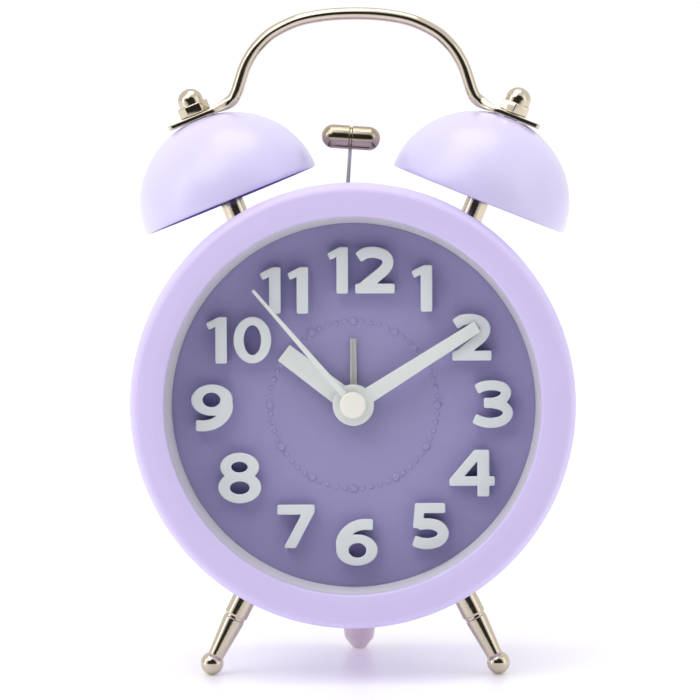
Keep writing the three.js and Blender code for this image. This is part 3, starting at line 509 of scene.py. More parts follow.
def oval(x, z, rx, rz):
    angles = [2 * math.pi * i / 60 for i in range(60)]
    return [(x + rx * math.cos(a), z + rz * math.sin(a)) for a in angles]


heavy, thin = figure["weight"], figure["thin"]
six = {
    "size": (8.6, 9.2),
    "joined": [
        oval(4.5, 3.1, 4.1, 3.1),
        stroke([(7.7, 8.1), (5.7, 8.15), (3.8, 7.6), (2.2, 6.3), (1.45, 4.7), (1.6, 3.1)], heavy),
    ],
    "cut": [oval(4.6, 3.05, 1.74, 1.43)],
}
figures = {
    0: {"size": (7.5, 9.2), "joined": [oval(3.75, 4.6, 3.75, 4.6)], "cut": [oval(3.75, 4.6, 1.7, 2.95)]},
    1: {
        "size": (4.15, 9.2),
        "joined": [[(1.85, 0), (4.15, 0), (4.15, 9.2), (2.5, 9.2), (0, 7.95), (0.6, 6.6), (1.85, 7.25)]],
    },
    2: {
        "size": (7.9, 9.2),
        "joined": [
            [(0.1, 0), (7.9, 0), (7.9, 1.95), (0.1, 1.95)],
            stroke(
                [(0.7, 7.1), (2.1, 7.95), (4, 8.1), (5.9, 7.5), (6.6, 6.2), (5.9, 4.7), (3.9, 3), (1.3, 0.95)],
                heavy,
            ),
        ],
    },
    3: {
        "size": (8.1, 9.4),
        "joined": [
            stroke(
                [(0.8, 7.6), (2.3, 8.25), (4.2, 8.4), (6, 8), (6.7, 7), (6, 5.7), (4.4, 5.05), (2.3, 4.95)],
                thin,
            ),
            stroke(
                [(2.3, 4.95), (4.6, 4.8), (6.4, 4.1), (7.05, 2.8), (6, 1.5), (3.9, 1), (2.1, 1.2), (0.35, 1.9)],
                thin,
            ),
        ],
    },
    4: {
        "size": (9, 9.2),
        "joined": [
            [
                (0, 2.1), (5.5, 2.1), (5.5, 0), (7.9, 0), (7.9, 2.1), (9, 2.1), (9, 4), (7.9, 4),
                (7.9, 9.2), (4.9, 9.2), (0, 3.4),
            ]
        ],
        "cut": [[(3, 4), (5.5, 4), (5.5, 6.9)]],
    },
    5: {
        "size": (7.45, 9.05),
        "joined": [
            [(0.7, 9.05), (0.25, 4.1), (2.3, 4), (2.5, 7.05), (6.7, 7.05), (6.7, 9.05)],
            stroke(
                [(1.3, 4.8), (3.4, 4.95), (5.4, 4.4), (6.3, 3), (5.4, 1.6), (3.5, 1.05), (1.9, 1.15), (0.4, 1.65)],
                heavy,
            ),
        ],
    },
    6: six,
    7: {
        "size": (7.4, 8.6),
        "joined": [[(0, 6.6), (4.7, 6.6), (1.2, 0), (3.6, 0), (7.4, 7.1), (7.4, 8.6), (0, 8.6)]],
    },
    8: {
        "size": (8.5, 10),
        "joined": [oval(4.25, 7.2, 3.85, 2.8), oval(4.25, 3.15, 4.25, 3.15)],
        "cut": [oval(4.2, 7.15, 1.62, 1.05), oval(4.25, 3.05, 1.94, 1.27)],
    },
    9: dict(six, turned=True),
}

# hour: (its figures, nudge right, nudge up), set evenly
hours = {
    1: ((1,), 0.1, -0.4), 2: ((2,), 0, -0.2), 3: ((3,), 0.5, 0.1), 4: ((4,), 0, 0), 5: ((5,), 1.6, -0.5),
    6: ((6,), 0.4, -0.1), 7: ((7,), 2.1, -0.5), 8: ((8,), 0.9, -0.8), 9: ((9,), -0.7, -0.4),
    10: ((1, 0), 0.8, -0.6), 11: ((1, 1), -0.1, -0.7), 12: ((1, 2), 1.6, -0.4),
}


def signedDistance(gridX, gridZ, loops):
    # distance to the outlines on a grid, negative inside by the even-odd rule
    nearest = np.full(gridX.shape, 1e9)
    inside = np.zeros(gridX.shape, bool)
    for loop in loops:
        for (ax, az), (bx, bz) in zip(loop, loop[1:] + loop[:1]):
            dx, dz = bx - ax, bz - az
            span = max(dx * dx + dz * dz, 1e-12)
            t = np.clip(((gridX - ax) * dx + (gridZ - az) * dz) / span, 0, 1)
            nearest = np.minimum(nearest, np.hypot(gridX - ax - t * dx, gridZ - az - t * dz))
            if az != bz:
                crosses = (az > gridZ) != (bz > gridZ)
                inside ^= crosses & (gridX < ax + (gridZ - az) * dx / dz)
    return np.where(inside, -nearest, nearest)


def contours(field, xs, zs, level):
    # closed outlines where the field crosses the level, by marching over the grid's cells
    f = field - level
    following = {}

    def crossing(a, b):
        t = f[a] / (f[a] - f[b])
        return (xs[a[1]] + t * (xs[b[1]] - xs[a[1]]), zs[a[0]] + t * (zs[b[0]] - zs[a[0]]))

    negative = f < 0
    mixed = negative[:-1, :-1].astype(int) + negative[1:, :-1] + negative[:-1, 1:] + negative[1:, 1:]
    points = {}
    for r, c in zip(*np.nonzero((mixed > 0) & (mixed < 4))):
        corners = [(r, c), (r, c + 1), (r + 1, c + 1), (r + 1, c)]
        leaving, entering = [], []
        for a, b in zip(corners, corners[1:] + corners[:1]):
            if negative[a] == negative[b]:
                continue
            key = (min(a, b), max(a, b))
            points[key] = crossing(a, b)
            (leaving if negative[a] else entering).append(key)
        for start, end in zip(leaving, entering[::-1] if len(entering) > 1 else entering):
            following[start] = end
    loops = []
    while following:
        loop = []
        key = next(iter(following))
        while key in following:
            loop.append(points[key])
            key = following.pop(key)
        loops.append(loop)
    return loops


def figureLoops(shape):
    width, height = shape["size"]
    margin, step = figure["margin"], figure["grid"]
    xs = np.arange(-margin, width + margin, step)
    zs = np.arange(-margin, height + margin, step)
    gridX, gridZ = np.meshgrid(xs, zs)
    field = np.min([signedDistance(gridX, gridZ, [loop]) for loop in shape["joined"]], axis=0)
    for loop in shape.get("cut", []):
        field = np.maximum(field, -signedDistance(gridX, gridZ, [loop]))
    loops = contours(field, xs, zs, 0)
    for level in (-figure["corner"], figure["corner"]):  # shrinking then growing rounds the corners
        loops = contours(signedDistance(gridX, gridZ, loops), xs, zs, level)
    return loops


def oriented(loops):
    # outer outline anticlockwise and holes clockwise, as inset and slab expect
    def area(loop):
        return sum(a[0] * b[1] - b[0] * a[1] for a, b in zip(loop, loop[1:] + loop[:1])) / 2

    loops = sorted(loops, key=lambda loop: -abs(area(loop)))
    made = []
    for k, loop in enumerate(loops):
        right = area(loop) > 0 if k == 0 else area(loop) < 0
        made.append([Vector(p) for p in (loop if right else loop[::-1])])
    return made


def evened(loop):
    # one pass that takes the grid's small steps out of an outline
    count = len(loop)
    return [(loop[i - 1] + 2 * loop[i] + loop[(i + 1) % count]) / 4 for i in range(count)]


def makeFigure(name, loops, shape, x, z):
    width, height = shape["size"]
    if shape.get("turned"):
        loops = [[Vector((width - p.x, height - p.y)) for p in loop] for loop in loops]
    loops = [evened([p + Vector((x, z)) for p in loop]) for loop in loops]
    front = dial["front"] - figure["rise"]
    bm = bmesh.new()
    slab(bm, loops, edged(front, dial["front"] + 0.15, figure["edge"], steps=5, both=False))
    piece = meshObject(name, bm, [finish["figure"], finish["dial"]], sharp=50)
    paintSides(piece, front + figure["paint"])
    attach(piece, "clock")


def paintSides(piece, depth):
    # the hot-stamped tops stay pale and the walls below them take the dial's colour
    toClock = toRow.inverted()
    for face in piece.data.polygons:
        if (toClock @ face.center).y > depth:
            face.material_index = 1


def makeFigures():
    outlines = {key: oriented(figureLoops(shape)) for key, shape in figures.items()}
    for hour, (drawn, right, up) in hours.items():
        angle = math.radians(30 * hour)
        total = sum(figures[f]["size"][0] for f in drawn) + figure["space"] * (len(drawn) - 1)
        x = figure["ring"] * math.sin(angle) + right - total / 2
        z = figure["ring"] * math.cos(angle) + up
        for place, f in enumerate(drawn):
            width, height = figures[f]["size"]
            makeFigure(f"figure{hour}{'ab'[place]}", outlines[f], figures[f], x, z - height / 2)
            x += width + figure["space"]


def makeDial():
    profile = roundedBox(dial["hole"], dial["front"], dial["radius"], dial["back"], 0.2, steps=5)
    plate = turnedPiece("dialDisc", profile, 192, finish["dial"], closed=True)
    settle(plate, "clock", "dial_purple", "dial_plate")


makeDial()
makeFigures()


# repeated shapes: Geometry Nodes that copy a small mesh round a ring or along a line
def spreadTree(name, onRing):
    # the modifier's own mesh is copied Count times; every Nth copy on the ring is scaled by Big Scale
    tree = bpy.data.node_groups.new(name, "GeometryNodeTree")
    sockets = tree.interface
    sockets.new_socket("Geometry", in_out="INPUT", socket_type="NodeSocketGeometry")
    for label, kind, value in (
        ("Count", "NodeSocketInt", 12),
        ("Reach", "NodeSocketFloat", 10.0),
        ("Every", "NodeSocketInt", 1),
        ("Big Scale", "NodeSocketFloat", 1.0),
    ):
        sockets.new_socket(label, in_out="INPUT", socket_type=kind).default_value = value
    sockets.new_socket("Material", in_out="INPUT", socket_type="NodeSocketMaterial")
    sockets.new_socket("Geometry", in_out="OUTPUT", socket_type="NodeSocketGeometry")
    enter = node(tree, "NodeGroupInput")
    leave = node(tree, "NodeGroupOutput")
    index = node(tree, "GeometryNodeInputIndex")
    points = node(tree, "GeometryNodePoints")
    share = node(tree, "ShaderNodeMath", operation="DIVIDE")
    angle = node(tree, "ShaderNodeMath", operation="MULTIPLY")
    angle.inputs[1].default_value = 2 * math.pi
    position = node(tree, "ShaderNodeCombineXYZ")
    turn = node(tree, "ShaderNodeCombineXYZ")
    modulo = node(tree, "ShaderNodeMath", operation="MODULO")
    isBig = node(tree, "ShaderNodeMath", operation="LESS_THAN")
    isBig.inputs[1].default_value = 0.5
    size = node(tree, "ShaderNodeMix", data_type="FLOAT")
    size.inputs["A"].default_value = 1.0
    copies = node(tree, "GeometryNodeInstanceOnPoints")
    real = node(tree, "GeometryNodeRealizeInstances")
    paint = node(tree, "GeometryNodeSetMaterial")
    wire(tree, enter, "Count", points, "Count")
    wire(tree, index, 0, share, 0)
    wire(tree, enter, "Count", share, 1)
    wire(tree, share, 0, angle, 0)
    if onRing:
        for operation, socket in (("SINE", "X"), ("COSINE", "Z")):
            wave = node(tree, "ShaderNodeMath", operation=operation)
            reach = node(tree, "ShaderNodeMath", operation="MULTIPLY")
            wire(tree, angle, 0, wave, 0)
            wire(tree, wave, 0, reach, 0)
            wire(tree, enter, "Reach", reach, 1)
            wire(tree, reach, 0, position, socket)
        wire(tree, angle, 0, turn, "Y")
        wire(tree, turn, 0, copies, "Rotation")
    else:
        reach = node(tree, "ShaderNodeMath", operation="MULTIPLY")
        wire(tree, share, 0, reach, 0)
        wire(tree, enter, "Reach", reach, 1)
        wire(tree, reach, 0, position, "X")
    wire(tree, position, 0, points, "Position")
    wire(tree, index, 0, modulo, 0)
    wire(tree, enter, "Every", modulo, 1)
    wire(tree, modulo, 0, isBig, 0)
    wire(tree, isBig, 0, size, "Factor")
    wire(tree, enter, "Big Scale", size, "B")
    wire(tree, points, 0, copies, "Points")
    wire(tree, enter, "Geometry", copies, "Instance")
    wire(tree, size, "Result", copies, "Scale")
    wire(tree, copies, 0, real, 0)
    wire(tree, real, 0, paint, "Geometry")
    wire(tree, enter, "Material", paint, "Material")
    wire(tree, paint, 0, leave, "Geometry")
    return tree


ringTree = spreadTree("copiesOnRing", True)
lineTree = spreadTree("copiesOnLine", False)


def spread(name, bm, tree, material, place, sharp=38, **values):
    # runs a spread tree over a small mesh and gives back one plain mesh in its place
    obj = meshObject(name, bm, [material], place=Matrix())
    modifier = obj.modifiers.new("spread", "NODES")
    modifier.node_group = tree
    identifiers = {
        item.name: item.identifier
        for item in tree.interface.items_tree
        if item.item_type == "SOCKET" and item.in_out == "INPUT"
    }
    for label, value in values.items():
        modifier[identifiers[label.replace("_", " ")]] = value
    modifier[identifiers["Material"]] = material
    applied(obj, sharp)
    obj.data.transform(place)
    return obj


def makeDots():
    dots = {"ring": 16.5, "small": 0.52, "big": 1.55, "rise": 0.22, "hours": 12, "between": 4}
    bm = bmesh.new()
    small, rise = dots["small"], dots["rise"]
    profile = [(0, -rise * 0.75), (small * 0.35, -rise), (small * 0.62, -rise), (small * 0.88, -rise * 0.62)]
    profile += [(small, 0.05)]
    lathe(bm, profile, 20)
    count = dots["hours"] * (dots["between"] + 1)
    place = toRow @ Matrix.Translation((0, dial["front"], 0))
    ring = spread(
        "dialDots", bm, ringTree, finish["dial"], place,
        Count=count, Reach=dots["ring"], Every=dots["between"] + 1, Big_Scale=dots["big"],
    )
    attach(ring, "clock")


print("dial: dots")
makeDots()

# hands
print("hands")
hands = {
    "alarm_hand": {"y": 9, "thick": 0.4, "hub": 3.7, "bore": 3.4, "length": 13.1, "root": 1.35, "tip": 1.2},
    "hour_hand": {"y": 7.8, "thick": 0.7, "hub": 4.1, "bore": 2.6, "length": 17.2, "root": 4.2, "tip": 3.9},
    "minute_hand": {"y": 6.3, "thick": 0.6, "hub": 4, "bore": 1.6, "length": 29, "root": 3.1, "tip": 2.4},
    "second_hand": {"y": 5.2, "thick": 0.4, "hub": 2.2, "bore": 0.6, "length": 30.1, "root": 1.3, "tip": 0.62},
}
handTurn = {"alarm_hand": 0, "hour_hand": -52.9, "minute_hand": 57.9, "second_hand": -40.9}
groove = {"half": 0.17, "deep": 0.24, "from": 0.6, "end": 0.4}  # the line pressed along the alarm hand


def handOutline(hand):
    # a straight tapered blade that runs out of a round hub
    hub, root, tip, length = hand["hub"], hand["root"] / 2, hand["tip"] / 2, hand["length"]
    spread = math.degrees(math.asin(root / hub))
    hubArc = arcPoints((0, 0), hub, 90 + spread, 450 - spread, 56)
    start = (root, math.sqrt(hub * hub - root * root))
    blade = softened([start, (tip, length, 0.15), (-tip, length, 0.15), hubArc[0]])
    return [Vector(p) for p in hubArc] + blade[1:-1]


def makeHand(name, body, material, slotName):
    hand = hands[name]
    outline = handOutline(hand)
    hole = circle(0, 0, hand["bore"], 40, clockwise=True)
    y0, y1 = hand["y"], hand["y"] + hand["thick"]
    bm = bmesh.new()
    slab(bm, [outline, hole], edged(y0, y1, 0.14, steps=3))
    turn = Matrix.Rotation(math.radians(handTurn[name]), 4, "Y")
    piece = meshObject(name + "Blade", bm, [material], place=toRow @ turn)
    settle(piece, body, slotName, name)
    return piece


def makeHands():
    makeHand("hour_hand", "hours", finish["hand"], "hand_white")
    makeHand("minute_hand", "minutes", finish["hand"], "hand_white")
    makeHand("second_hand", "seconds", finish["hand"], "hand_white")
    blade = makeHand("alarm_hand", "alarm", finish["satinSteel"], "nickel_plate")
    hand = hands["alarm_hand"]
    z0, z1 = hand["hub"] + groove["from"], hand["length"] - groove["end"]
    half, y = groove["half"], hand["y"]
    carve(blade, [toolBlock(-half, half, y - 1, y + groove["deep"], z0, z1, 0.12)])


def makeCap():
    cap = {"radius": 2.65, "front": 4.1, "back": 5.1}
    front, back, radius = cap["front"], cap["back"], cap["radius"]
    profile = softened([(0, front), (radius, front + 0.1, 0.5), (radius, back, 0.1), (0, back)], steps=8)
    piece = turnedPiece("handCap", profile, 96, finish["cap"])
    settle(piece, "seconds", "cap_white", "second_hand_cap")


makeHands()
makeCap()

# bells, posts and dome nuts
print("bells")
bell = {"x": 24.7, "z": 40.8, "y": 23, "tilt": 22.1, "radius": 18.2, "height": 17.2, "wall": 0.9}
bell.update(flat=3.2, hole=1.8, post=2.3, postFoot=-5.6, lip=0.45, steps=192)
crownAngle = math.acos(bell["flat"] / bell["radius"])
crown = bell["height"] * math.sin(crownAngle)
nut = {"seat": crown + 1.2, "corner": 5.5 / math.sqrt(3), "hex": 2.3, "dome": 2.5, "top": 3.1}
nut["turn"] = {"left": 30, "right": 0}


def bellPlace(side):
    tilt = math.radians(bell["tilt"])
    return along(side * bell["x"], bell["y"], bell["z"], side * math.sin(tilt), math.cos(tilt))


def bellProfile():
    steps = 40
    outside, inside = [], []
    for i in range(steps + 1):
        a = crownAngle * i / steps
        outside.append((bell["radius"] * math.cos(a), bell["height"] * math.sin(a)))
        innerHeight = (crown - bell["wall"]) / math.sin(crownAngle)
        inside.append(((bell["radius"] - bell["wall"]) * math.cos(a), innerHeight * math.sin(a)))
    lip = arcPoints((bell["radius"] - bell["lip"], 0.12), bell["lip"], -170, -10, 8)
    hole = [(bell["hole"], crown), (bell["hole"], crown - bell["wall"])]
    return lip[1:-1] + outside[1:] + hole + inside[:0:-1]


def makeBell(side, label):
    place = bellPlace(side)
    shellPiece = turnedPiece(
        label + "BellShell", bellProfile(), bell["steps"], finish["bell"], finish["bellInside"],
        place=place, closed=True, sharp=50,
    )
    crownPoint = toRow @ place @ Vector((0, crown / 2, 0))
    for face in shellPiece.data.polygons:  # the hollow side is the one that faces the bell's own middle
        if face.normal.dot(crownPoint - face.center) > 0 and (face.center - crownPoint).length > 3 * mm:
            face.material_index = 1
    settle(shellPiece, "clock", "bell_enamel", label + "_bell")


def makePost(side, label):
    radius, low, high = bell["post"], bell["postFoot"], crown - 1.0
    profile = softened([(0, low), (radius, low), (radius, high, 0.2), (0, high)])
    post = turnedPiece(label + "BellSpacer", profile, 64, finish["nickel"], place=bellPlace(side))
    settle(post, "clock", "nickel_plate", label + "_bell_post")


def makeDomeNut(side, label):
    place = bellPlace(side)
    bm = bmesh.new()
    seat, corner, radius, hexTop = nut["seat"], nut["corner"], nut["dome"], nut["seat"] + nut["hex"]
    chamfered = [(0, seat), (corner - 0.25, seat), (corner, seat + 0.2), (corner, hexTop - 0.25)]
    chamfered += [(radius - 0.05, hexTop), (0, hexTop)]
    lathe(bm, chamfered, 6, place @ Matrix.Rotation(math.radians(nut["turn"][label]), 4, "Y"))
    hexPart = meshObject(label + "DomeNut", bm, [finish["nickel"]], sharp=20)
    edges = hexPart.modifiers.new("edges", "BEVEL")
    edges.width = 0.16 * mm
    edges.segments = 3
    applied(hexPart, 35)
    base = hexTop - 0.15
    spring, rise = base + 0.9, nut["top"] - 0.75
    bm = bmesh.new()
    bm.from_mesh(hexPart.data)
    dome = [(0, base - 0.1), (radius, base - 0.1), (radius, spring)]
    for a in np.linspace(0.12, math.pi / 2, 14):
        dome.append((radius * math.cos(a), spring + rise * math.sin(a)))
    dome[-1] = (0, dome[-1][1])
    lathe(bm, dome, 64, toRow @ place)
    bm.to_mesh(hexPart.data)
    bm.free()
    smooth(hexPart.data, 35)
    settle(hexPart, "clock", "nickel_plate", label + "_dome_nut")


for side, label in ((-1, "left"), (1, "right")):
    makeBell(side, label)
    makePost(side, label)
    makeDomeNut(side, label)

# handle: a rod that flattens into a pierced tab at each end
print("handle")
handle = {"rod": 1.25, "thick": 1.0, "half": 3.1, "outward": 6.0, "inward": 2.6, "blend": 4.8, "end": 0.8}
handleLine = [
    (26.2, 59.2), (24.6, 60.3), (23.5, 61.9), (22.7, 64.3), (21.9, 66.7), (20.7, 69.1), (19, 71.4),
    (16.2, 73.88), (11.4, 76.17), (5.8, 77.27), (0, 77.57),
]


def tabSection(width, thick, rod, blend, quarter=10):
    # a flat bar's outline that blends into the rod's round one, both drawn with the same points
    corner = min(0.22, thick / 2)
    bar = [(width, 0), (width, (thick - corner) / 2)]
    bar += arcPoints((width - corner, thick - corner), corner, 0, 90, quarter - 5)
    bar += [(width / 2, thick), (width / 4, thick)]
    points = []
    for turn in range(4):
        for k in range(quarter):
            a = math.pi / 2 * (turn + k / quarter)
            x, y = bar[k] if turn % 2 == 0 else bar[-k] if k else (0, thick)
            signX = 1 if turn in (0, 3) else -1
            signY = 1 if turn in (0, 1) else -1
            flat = Vector((signX * x, signY * y))
            points.append(flat.lerp(Vector((rod * math.cos(a), rod * math.sin(a))), blend))
    return points


def makeHandle():
    low = crown + 0.1
    mid = low + handle["thick"] / 2
    ends = bellPlace(1)

    def onTab(t):
        p = ends @ Vector((t, mid, 0))
        return (p.x, p.z)

    tabLine = [onTab(t) for t in (handle["outward"], 4, 2, 0, -2, -3.8)]
    upper = [Vector(p) for p in handleLine[1:]]
    half = [Vector(p) for p in tabLine] + upper
    full = half + [Vector((-p.x, p.y)) for p in half[-2::-1]]
    line = smoothLine([tuple(p) for p in full], 240)
    lengths = [0]
    for a, b in zip(line, line[1:]):
        lengths.append(lengths[-1] + (b - a).length)
    flatEnd = handle["outward"] + handle["inward"]
    bm = bmesh.new()
    rings = []
    for i, p in enumerate(line):
        ahead = (line[min(i + 1, len(line) - 1)] - line[max(i - 1, 0)]).normalized()
        normal = Vector((-ahead.y, ahead.x))
        fromEnd = min(lengths[i], lengths[-1] - lengths[i])
        t = min(max((fromEnd - flatEnd) / handle["blend"], 0), 1)
        t = t * t * (3 - 2 * t)
        width = handle["half"]
        if fromEnd < handle["end"]:  # the tab's end is slightly rounded in plan
            width -= handle["end"] * (1 - math.sqrt(1 - (1 - fromEnd / handle["end"]) ** 2))
        ring = []
        for across, up in tabSection(width, handle["thick"] / 2, handle["rod"], t):
            ring.append(bm.verts.new((p.x + normal.x * up, bell["y"] + across, p.y + normal.y * up)))
        rings.append(ring)
    for a, b in zip(rings, rings[1:]):
        bridge(bm, a, b)
    bm.faces.new(rings[0])
    bm.faces.new(rings[-1])
    rod = meshObject("carryHandle", bm, [finish["nickel"]], sharp=55)
    holes = []
    for side in (-1, 1):
        holes.append(toolRod(bell["hole"], crown - 2, crown + 4, steps=48, place=bellPlace(side)))
    carve(rod, holes, 50)
    settle(rod, "clock", "nickel_plate", "handle")


makeHandle()

# hammer
print("hammer")
hammer = {"x": -2.44, "z": 28, "y": 23, "lean": 4, "arm": 25, "radius": 2.38, "half": 5.85, "nose": 2.3}
hammer.update(wire=0.38, wireFoot=2.4, band=0.36, bandDeep=0.28)
hammerPlace = Matrix.Translation((hammer["x"], hammer["y"], hammer["z"])) @ Matrix.Rotation(
    math.radians(hammer["lean"]), 4, "Y"
)


def makeHammer():
    r, h = hammer["radius"], hammer["half"]
    nose = hammer["nose"]
    end = [(r * math.sin(a), h - nose + nose * math.cos(a)) for a in np.linspace(0, math.pi / 2, 16)]
    band, floor = hammer["band"], r - hammer["bandDeep"]
    corners = [(p[0], -p[1]) for p in end]
    corners += [(r, -band, 0.06), (floor, 0.2 - band), (floor, band - 0.2), (r, band, 0.06), *end[::-1]]
    corners[0], corners[-1] = (0, -h), (0, h)
    lying = hammerPlace @ Matrix.Translation((0, 0, hammer["arm"])) @ Matrix.Rotation(-math.pi / 2, 4, "Z")
    # the head takes the darker nickel, painted shade for where it sits between the bells
    head = turnedPiece(
        "hammerHead", softened(corners, steps=7), 96, finish["shadedNickel"], place=lying, sharp=30
    )
    settle(head, "hammer", "nickel_plate", "hammer_head")
    standing = hammerPlace @ Matrix.Rotation(math.pi / 2, 4, "X")
    thin, low, high = hammer["wire"], hammer["wireFoot"], hammer["arm"] - r + 0.6
    wire = [(0, low), (thin, low), (thin, high), (0, high)]
    stem = turnedPiece("hammerStem", wire, 32, finish["satinSteel"], place=standing)
    settle(stem, "hammer", "nickel_plate", "hammer_wire")


makeHammer()

# legs and rear foot
print("legs")
leg = {"x": 2.65, "y": 12.9, "angle": 26.7, "ball": 57.3, "ballRadius": 2.3, "stud": 1.45, "studTop": 38}
leg.update(shoulder=42.3, sleeve=2.35, step=46.6, neck=2.06, taper=2.2, ankle=1.58)


def legPlace(side):
    a = math.radians(leg["angle"])
    return along(side * leg["x"], leg["y"], 0, side * math.sin(a), -math.cos(a))


def makeLeg(side, label):
    top, step, ball, r = leg["studTop"], leg["step"], leg["ball"], leg["ballRadius"]
    stud, shoulder, sleeve, neck = leg["stud"], leg["shoulder"], leg["sleeve"], leg["neck"]
    corners = [(0, top), (stud, top), (stud, shoulder), (sleeve, shoulder), (sleeve, step, 0.12)]
    corners += [(neck, step + 0.3, 0.08), (neck, step + 0.75, 0.08)]
    corners += [(leg["taper"], step + 1.0, 0.3), (leg["ankle"], ball - 1.75, 0.1)]
    profile = softened(corners, steps=4)
    for t in np.linspace(math.radians(-44), math.pi / 2, 22):
        profile.append(Vector((r * math.cos(t), ball + r * math.sin(t))))
    profile[-1] = Vector((0, ball + r))
    name = label + "LegTurning"
    piece = turnedPiece(name, profile, 96, finish["nickel"], place=legPlace(side), sharp=30)
    settle(piece, "clock", "nickel_plate", label + "_leg")


def makeRearFoot():
    low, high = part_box("rear_foot")
    centre = (Vector(low) + Vector(high)) / 2
    upright = Matrix.Scale(mm, 4) @ Matrix.Rotation(math.pi / 2, 4, "X")
    place = Matrix.Translation((centre.x, centre.y, 0)) @ upright
    corners = [(0, 0), (1.25, 0, 0.35), (2.95, 2.2, 2.4), (3.3, 5.5, 3.0), (3.3, 8.2), (1.5, 8.2)]
    corners += [(1.5, 11), (0, 11)]
    bm = bmesh.new()
    lathe(bm, softened(corners, steps=8), 96, place)
    foot = meshObject("rearFootPeg", bm, [finish["foot"]], place=Matrix(), sharp=40)
    settle(foot, "clock", "foot_plastic", "rear_foot")


makeLeg(-1, "left")
makeLeg(1, "right")
makeRearFoot()

# case shell and back
print("case: shell and back")
cover = {"radius": 41.2, "front": 44.8, "back": 46.4, "rim": 38.6, "dish": 0.3, "doorGap": 0.25}
bay = {"half": 28.6, "z": -19, "width": 15.4, "floor": 29.4, "wall": 1.2}
door = {"half": 29.3, "width": 17, "front": 45, "back": 46.5}
switch = {"x": 21, "z": 15, "nub": 2, "travel": 4, "slot": 1.5}
knob = {"radius": 5.6, "neck": 2.4, "front": 46.8, "back": 51.6, "grips": 30}
knobPlaces = {"time_set_knob": (-8, "time_setter"), "alarm_set_knob": (8.8, "alarm_setter")}
screw = {"x": 35.5, "z": 4, "shank": 1.1, "head": 2.3, "cross": 1.25, "crossHalf": 0.28}
hammerSlot = {"left": -5.4, "right": 3.8, "half": 1.4}  # where the hammer's wire leaves the drum


def makeShell():
    inner, outer, front, back = shell["inner"], shell["outer"], shell["front"], shell["back"]
    corners = [(inner, front), (outer, front, 0.2), (outer, back, 0.6), (inner, back, 0.2)]
    profile = softened(corners, closed=True)
    drum = turnedPiece("caseDrum", profile, rim["steps"], finish["lilac"], closed=True)
    middle, half = hammer["y"], hammerSlot["half"]
    wall = (38, 46)  # every tool passes through the drum's wall
    tools = [toolSlot(hammerSlot["left"], hammerSlot["right"], middle - half, middle + half, *wall)]
    for side in (-1, 1):
        tools.append(toolRod(bell["hole"], -10, 0, place=bellPlace(side), steps=48))
        tools.append(toolRod(bell["hole"], *wall, place=legPlace(side), steps=48))
    carve(drum, tools)
    settle(drum, "clock", "lilac_plastic", "case_shell")


def toolSlot(x0, x1, y0, y1, z0, z1):
    # a slot with round ends, standing along z
    middle, reach = (y0 + y1) / 2, (y1 - y0) / 2
    ends = arcPoints((x1 - reach, middle), reach, -90, 90, 12)
    ends += arcPoints((x0 + reach, middle), reach, 90, 270, 12)
    bm = bmesh.new()
    swap = Matrix(((1, 0, 0, 0), (0, 0, 1, 0), (0, 1, 0, 0), (0, 0, 0, 1)))
    slab(bm, [[Vector(p) for p in ends]], [(0, z0), (0, z1)], place=swap)
    return meshObject("tool", bm, [])


def makeCover():
    radius, front, back = cover["radius"], cover["front"], cover["back"]
    dished = back - cover["dish"]
    corners = [(0, front), (radius, front), (radius, back, 0.4), (cover["rim"], back, 0.3)]
    corners += [(cover["rim"] - 0.4, dished, 0.3), (0, dished)]
    plate = turnedPiece("backCover", softened(corners), 192, finish["lilac"])
    z0, z1 = bay["z"] - bay["width"] / 2, bay["z"] + bay["width"] / 2
    half, w = bay["half"], bay["wall"]
    walls = toolBlock(-half - w, half + w, bay["floor"] - w, back - 1, z0 - w, z1 + w, 1.2)
    joinWalls = plate.modifiers.new("bay", "BOOLEAN")
    joinWalls.operation = "UNION"
    joinWalls.solver = "EXACT"
    joinWalls.object = walls
    applied(plate)
    bpy.data.objects.remove(walls)
    through = (40, 50)  # the holes pass right through the cover
    side, edge = door["half"] + cover["doorGap"], door["width"] / 2 + cover["doorGap"]
    x, reach = switch["x"], switch["travel"] / 2
    low, high = switch["z"] - switch["nub"] - reach - 0.2, switch["z"] + switch["nub"] + reach + 0.2
    tools = [
        toolBlock(-half, half, bay["floor"], through[1], z0, z1, 0.6),
        toolBlock(-side, side, front + 0.1, through[1], bay["z"] - edge, bay["z"] + edge, 0.9),
        toolBlock(x - switch["slot"], x + switch["slot"], *through, low, high),
    ]
    for name in knobPlaces:
        tools.append(toolRod(knob["neck"] + 0.1, *through, x=knobPlaces[name][0]))
    for x in (-screw["x"], screw["x"]):
        tools.append(toolRod(screw["shank"] + 0.3, *through, x=x, z=screw["z"]))
    carve(plate, tools)
    settle(plate, "clock", "lilac_plastic", "rear_cover")


def makeDoor():
    half, z = door["half"], bay["z"]
    bm = bmesh.new()
    outline = roundedBox(-half, z - door["width"] / 2, half, z + door["width"] / 2, 0.8)
    slab(bm, [outline], edged(door["front"], door["back"] - 0.25, 0.2))
    lid = meshObject("doorLid", bm, [finish["lilac"]])
    settle(lid, "door", "lilac_plastic", "battery_door")
    bm = bmesh.new()
    rib = roundedBox(-0.3, -4, 0.3, 4, 0.28)
    slab(bm, [rib], [(0, -0.3)] + [(0.28 - p[0], p[1]) for p in arcPoints((0, 0.2), 0.28, 0, 90, 4)])
    place = toRow @ Matrix.Translation((half - 9, door["back"] - 0.2, z))
    ribs = spread(
        "doorRibs", bm, lineTree, finish["lilac"], place, Count=6, Reach=8.4, Every=1, Big_Scale=1.0
    )
    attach(ribs, "door")


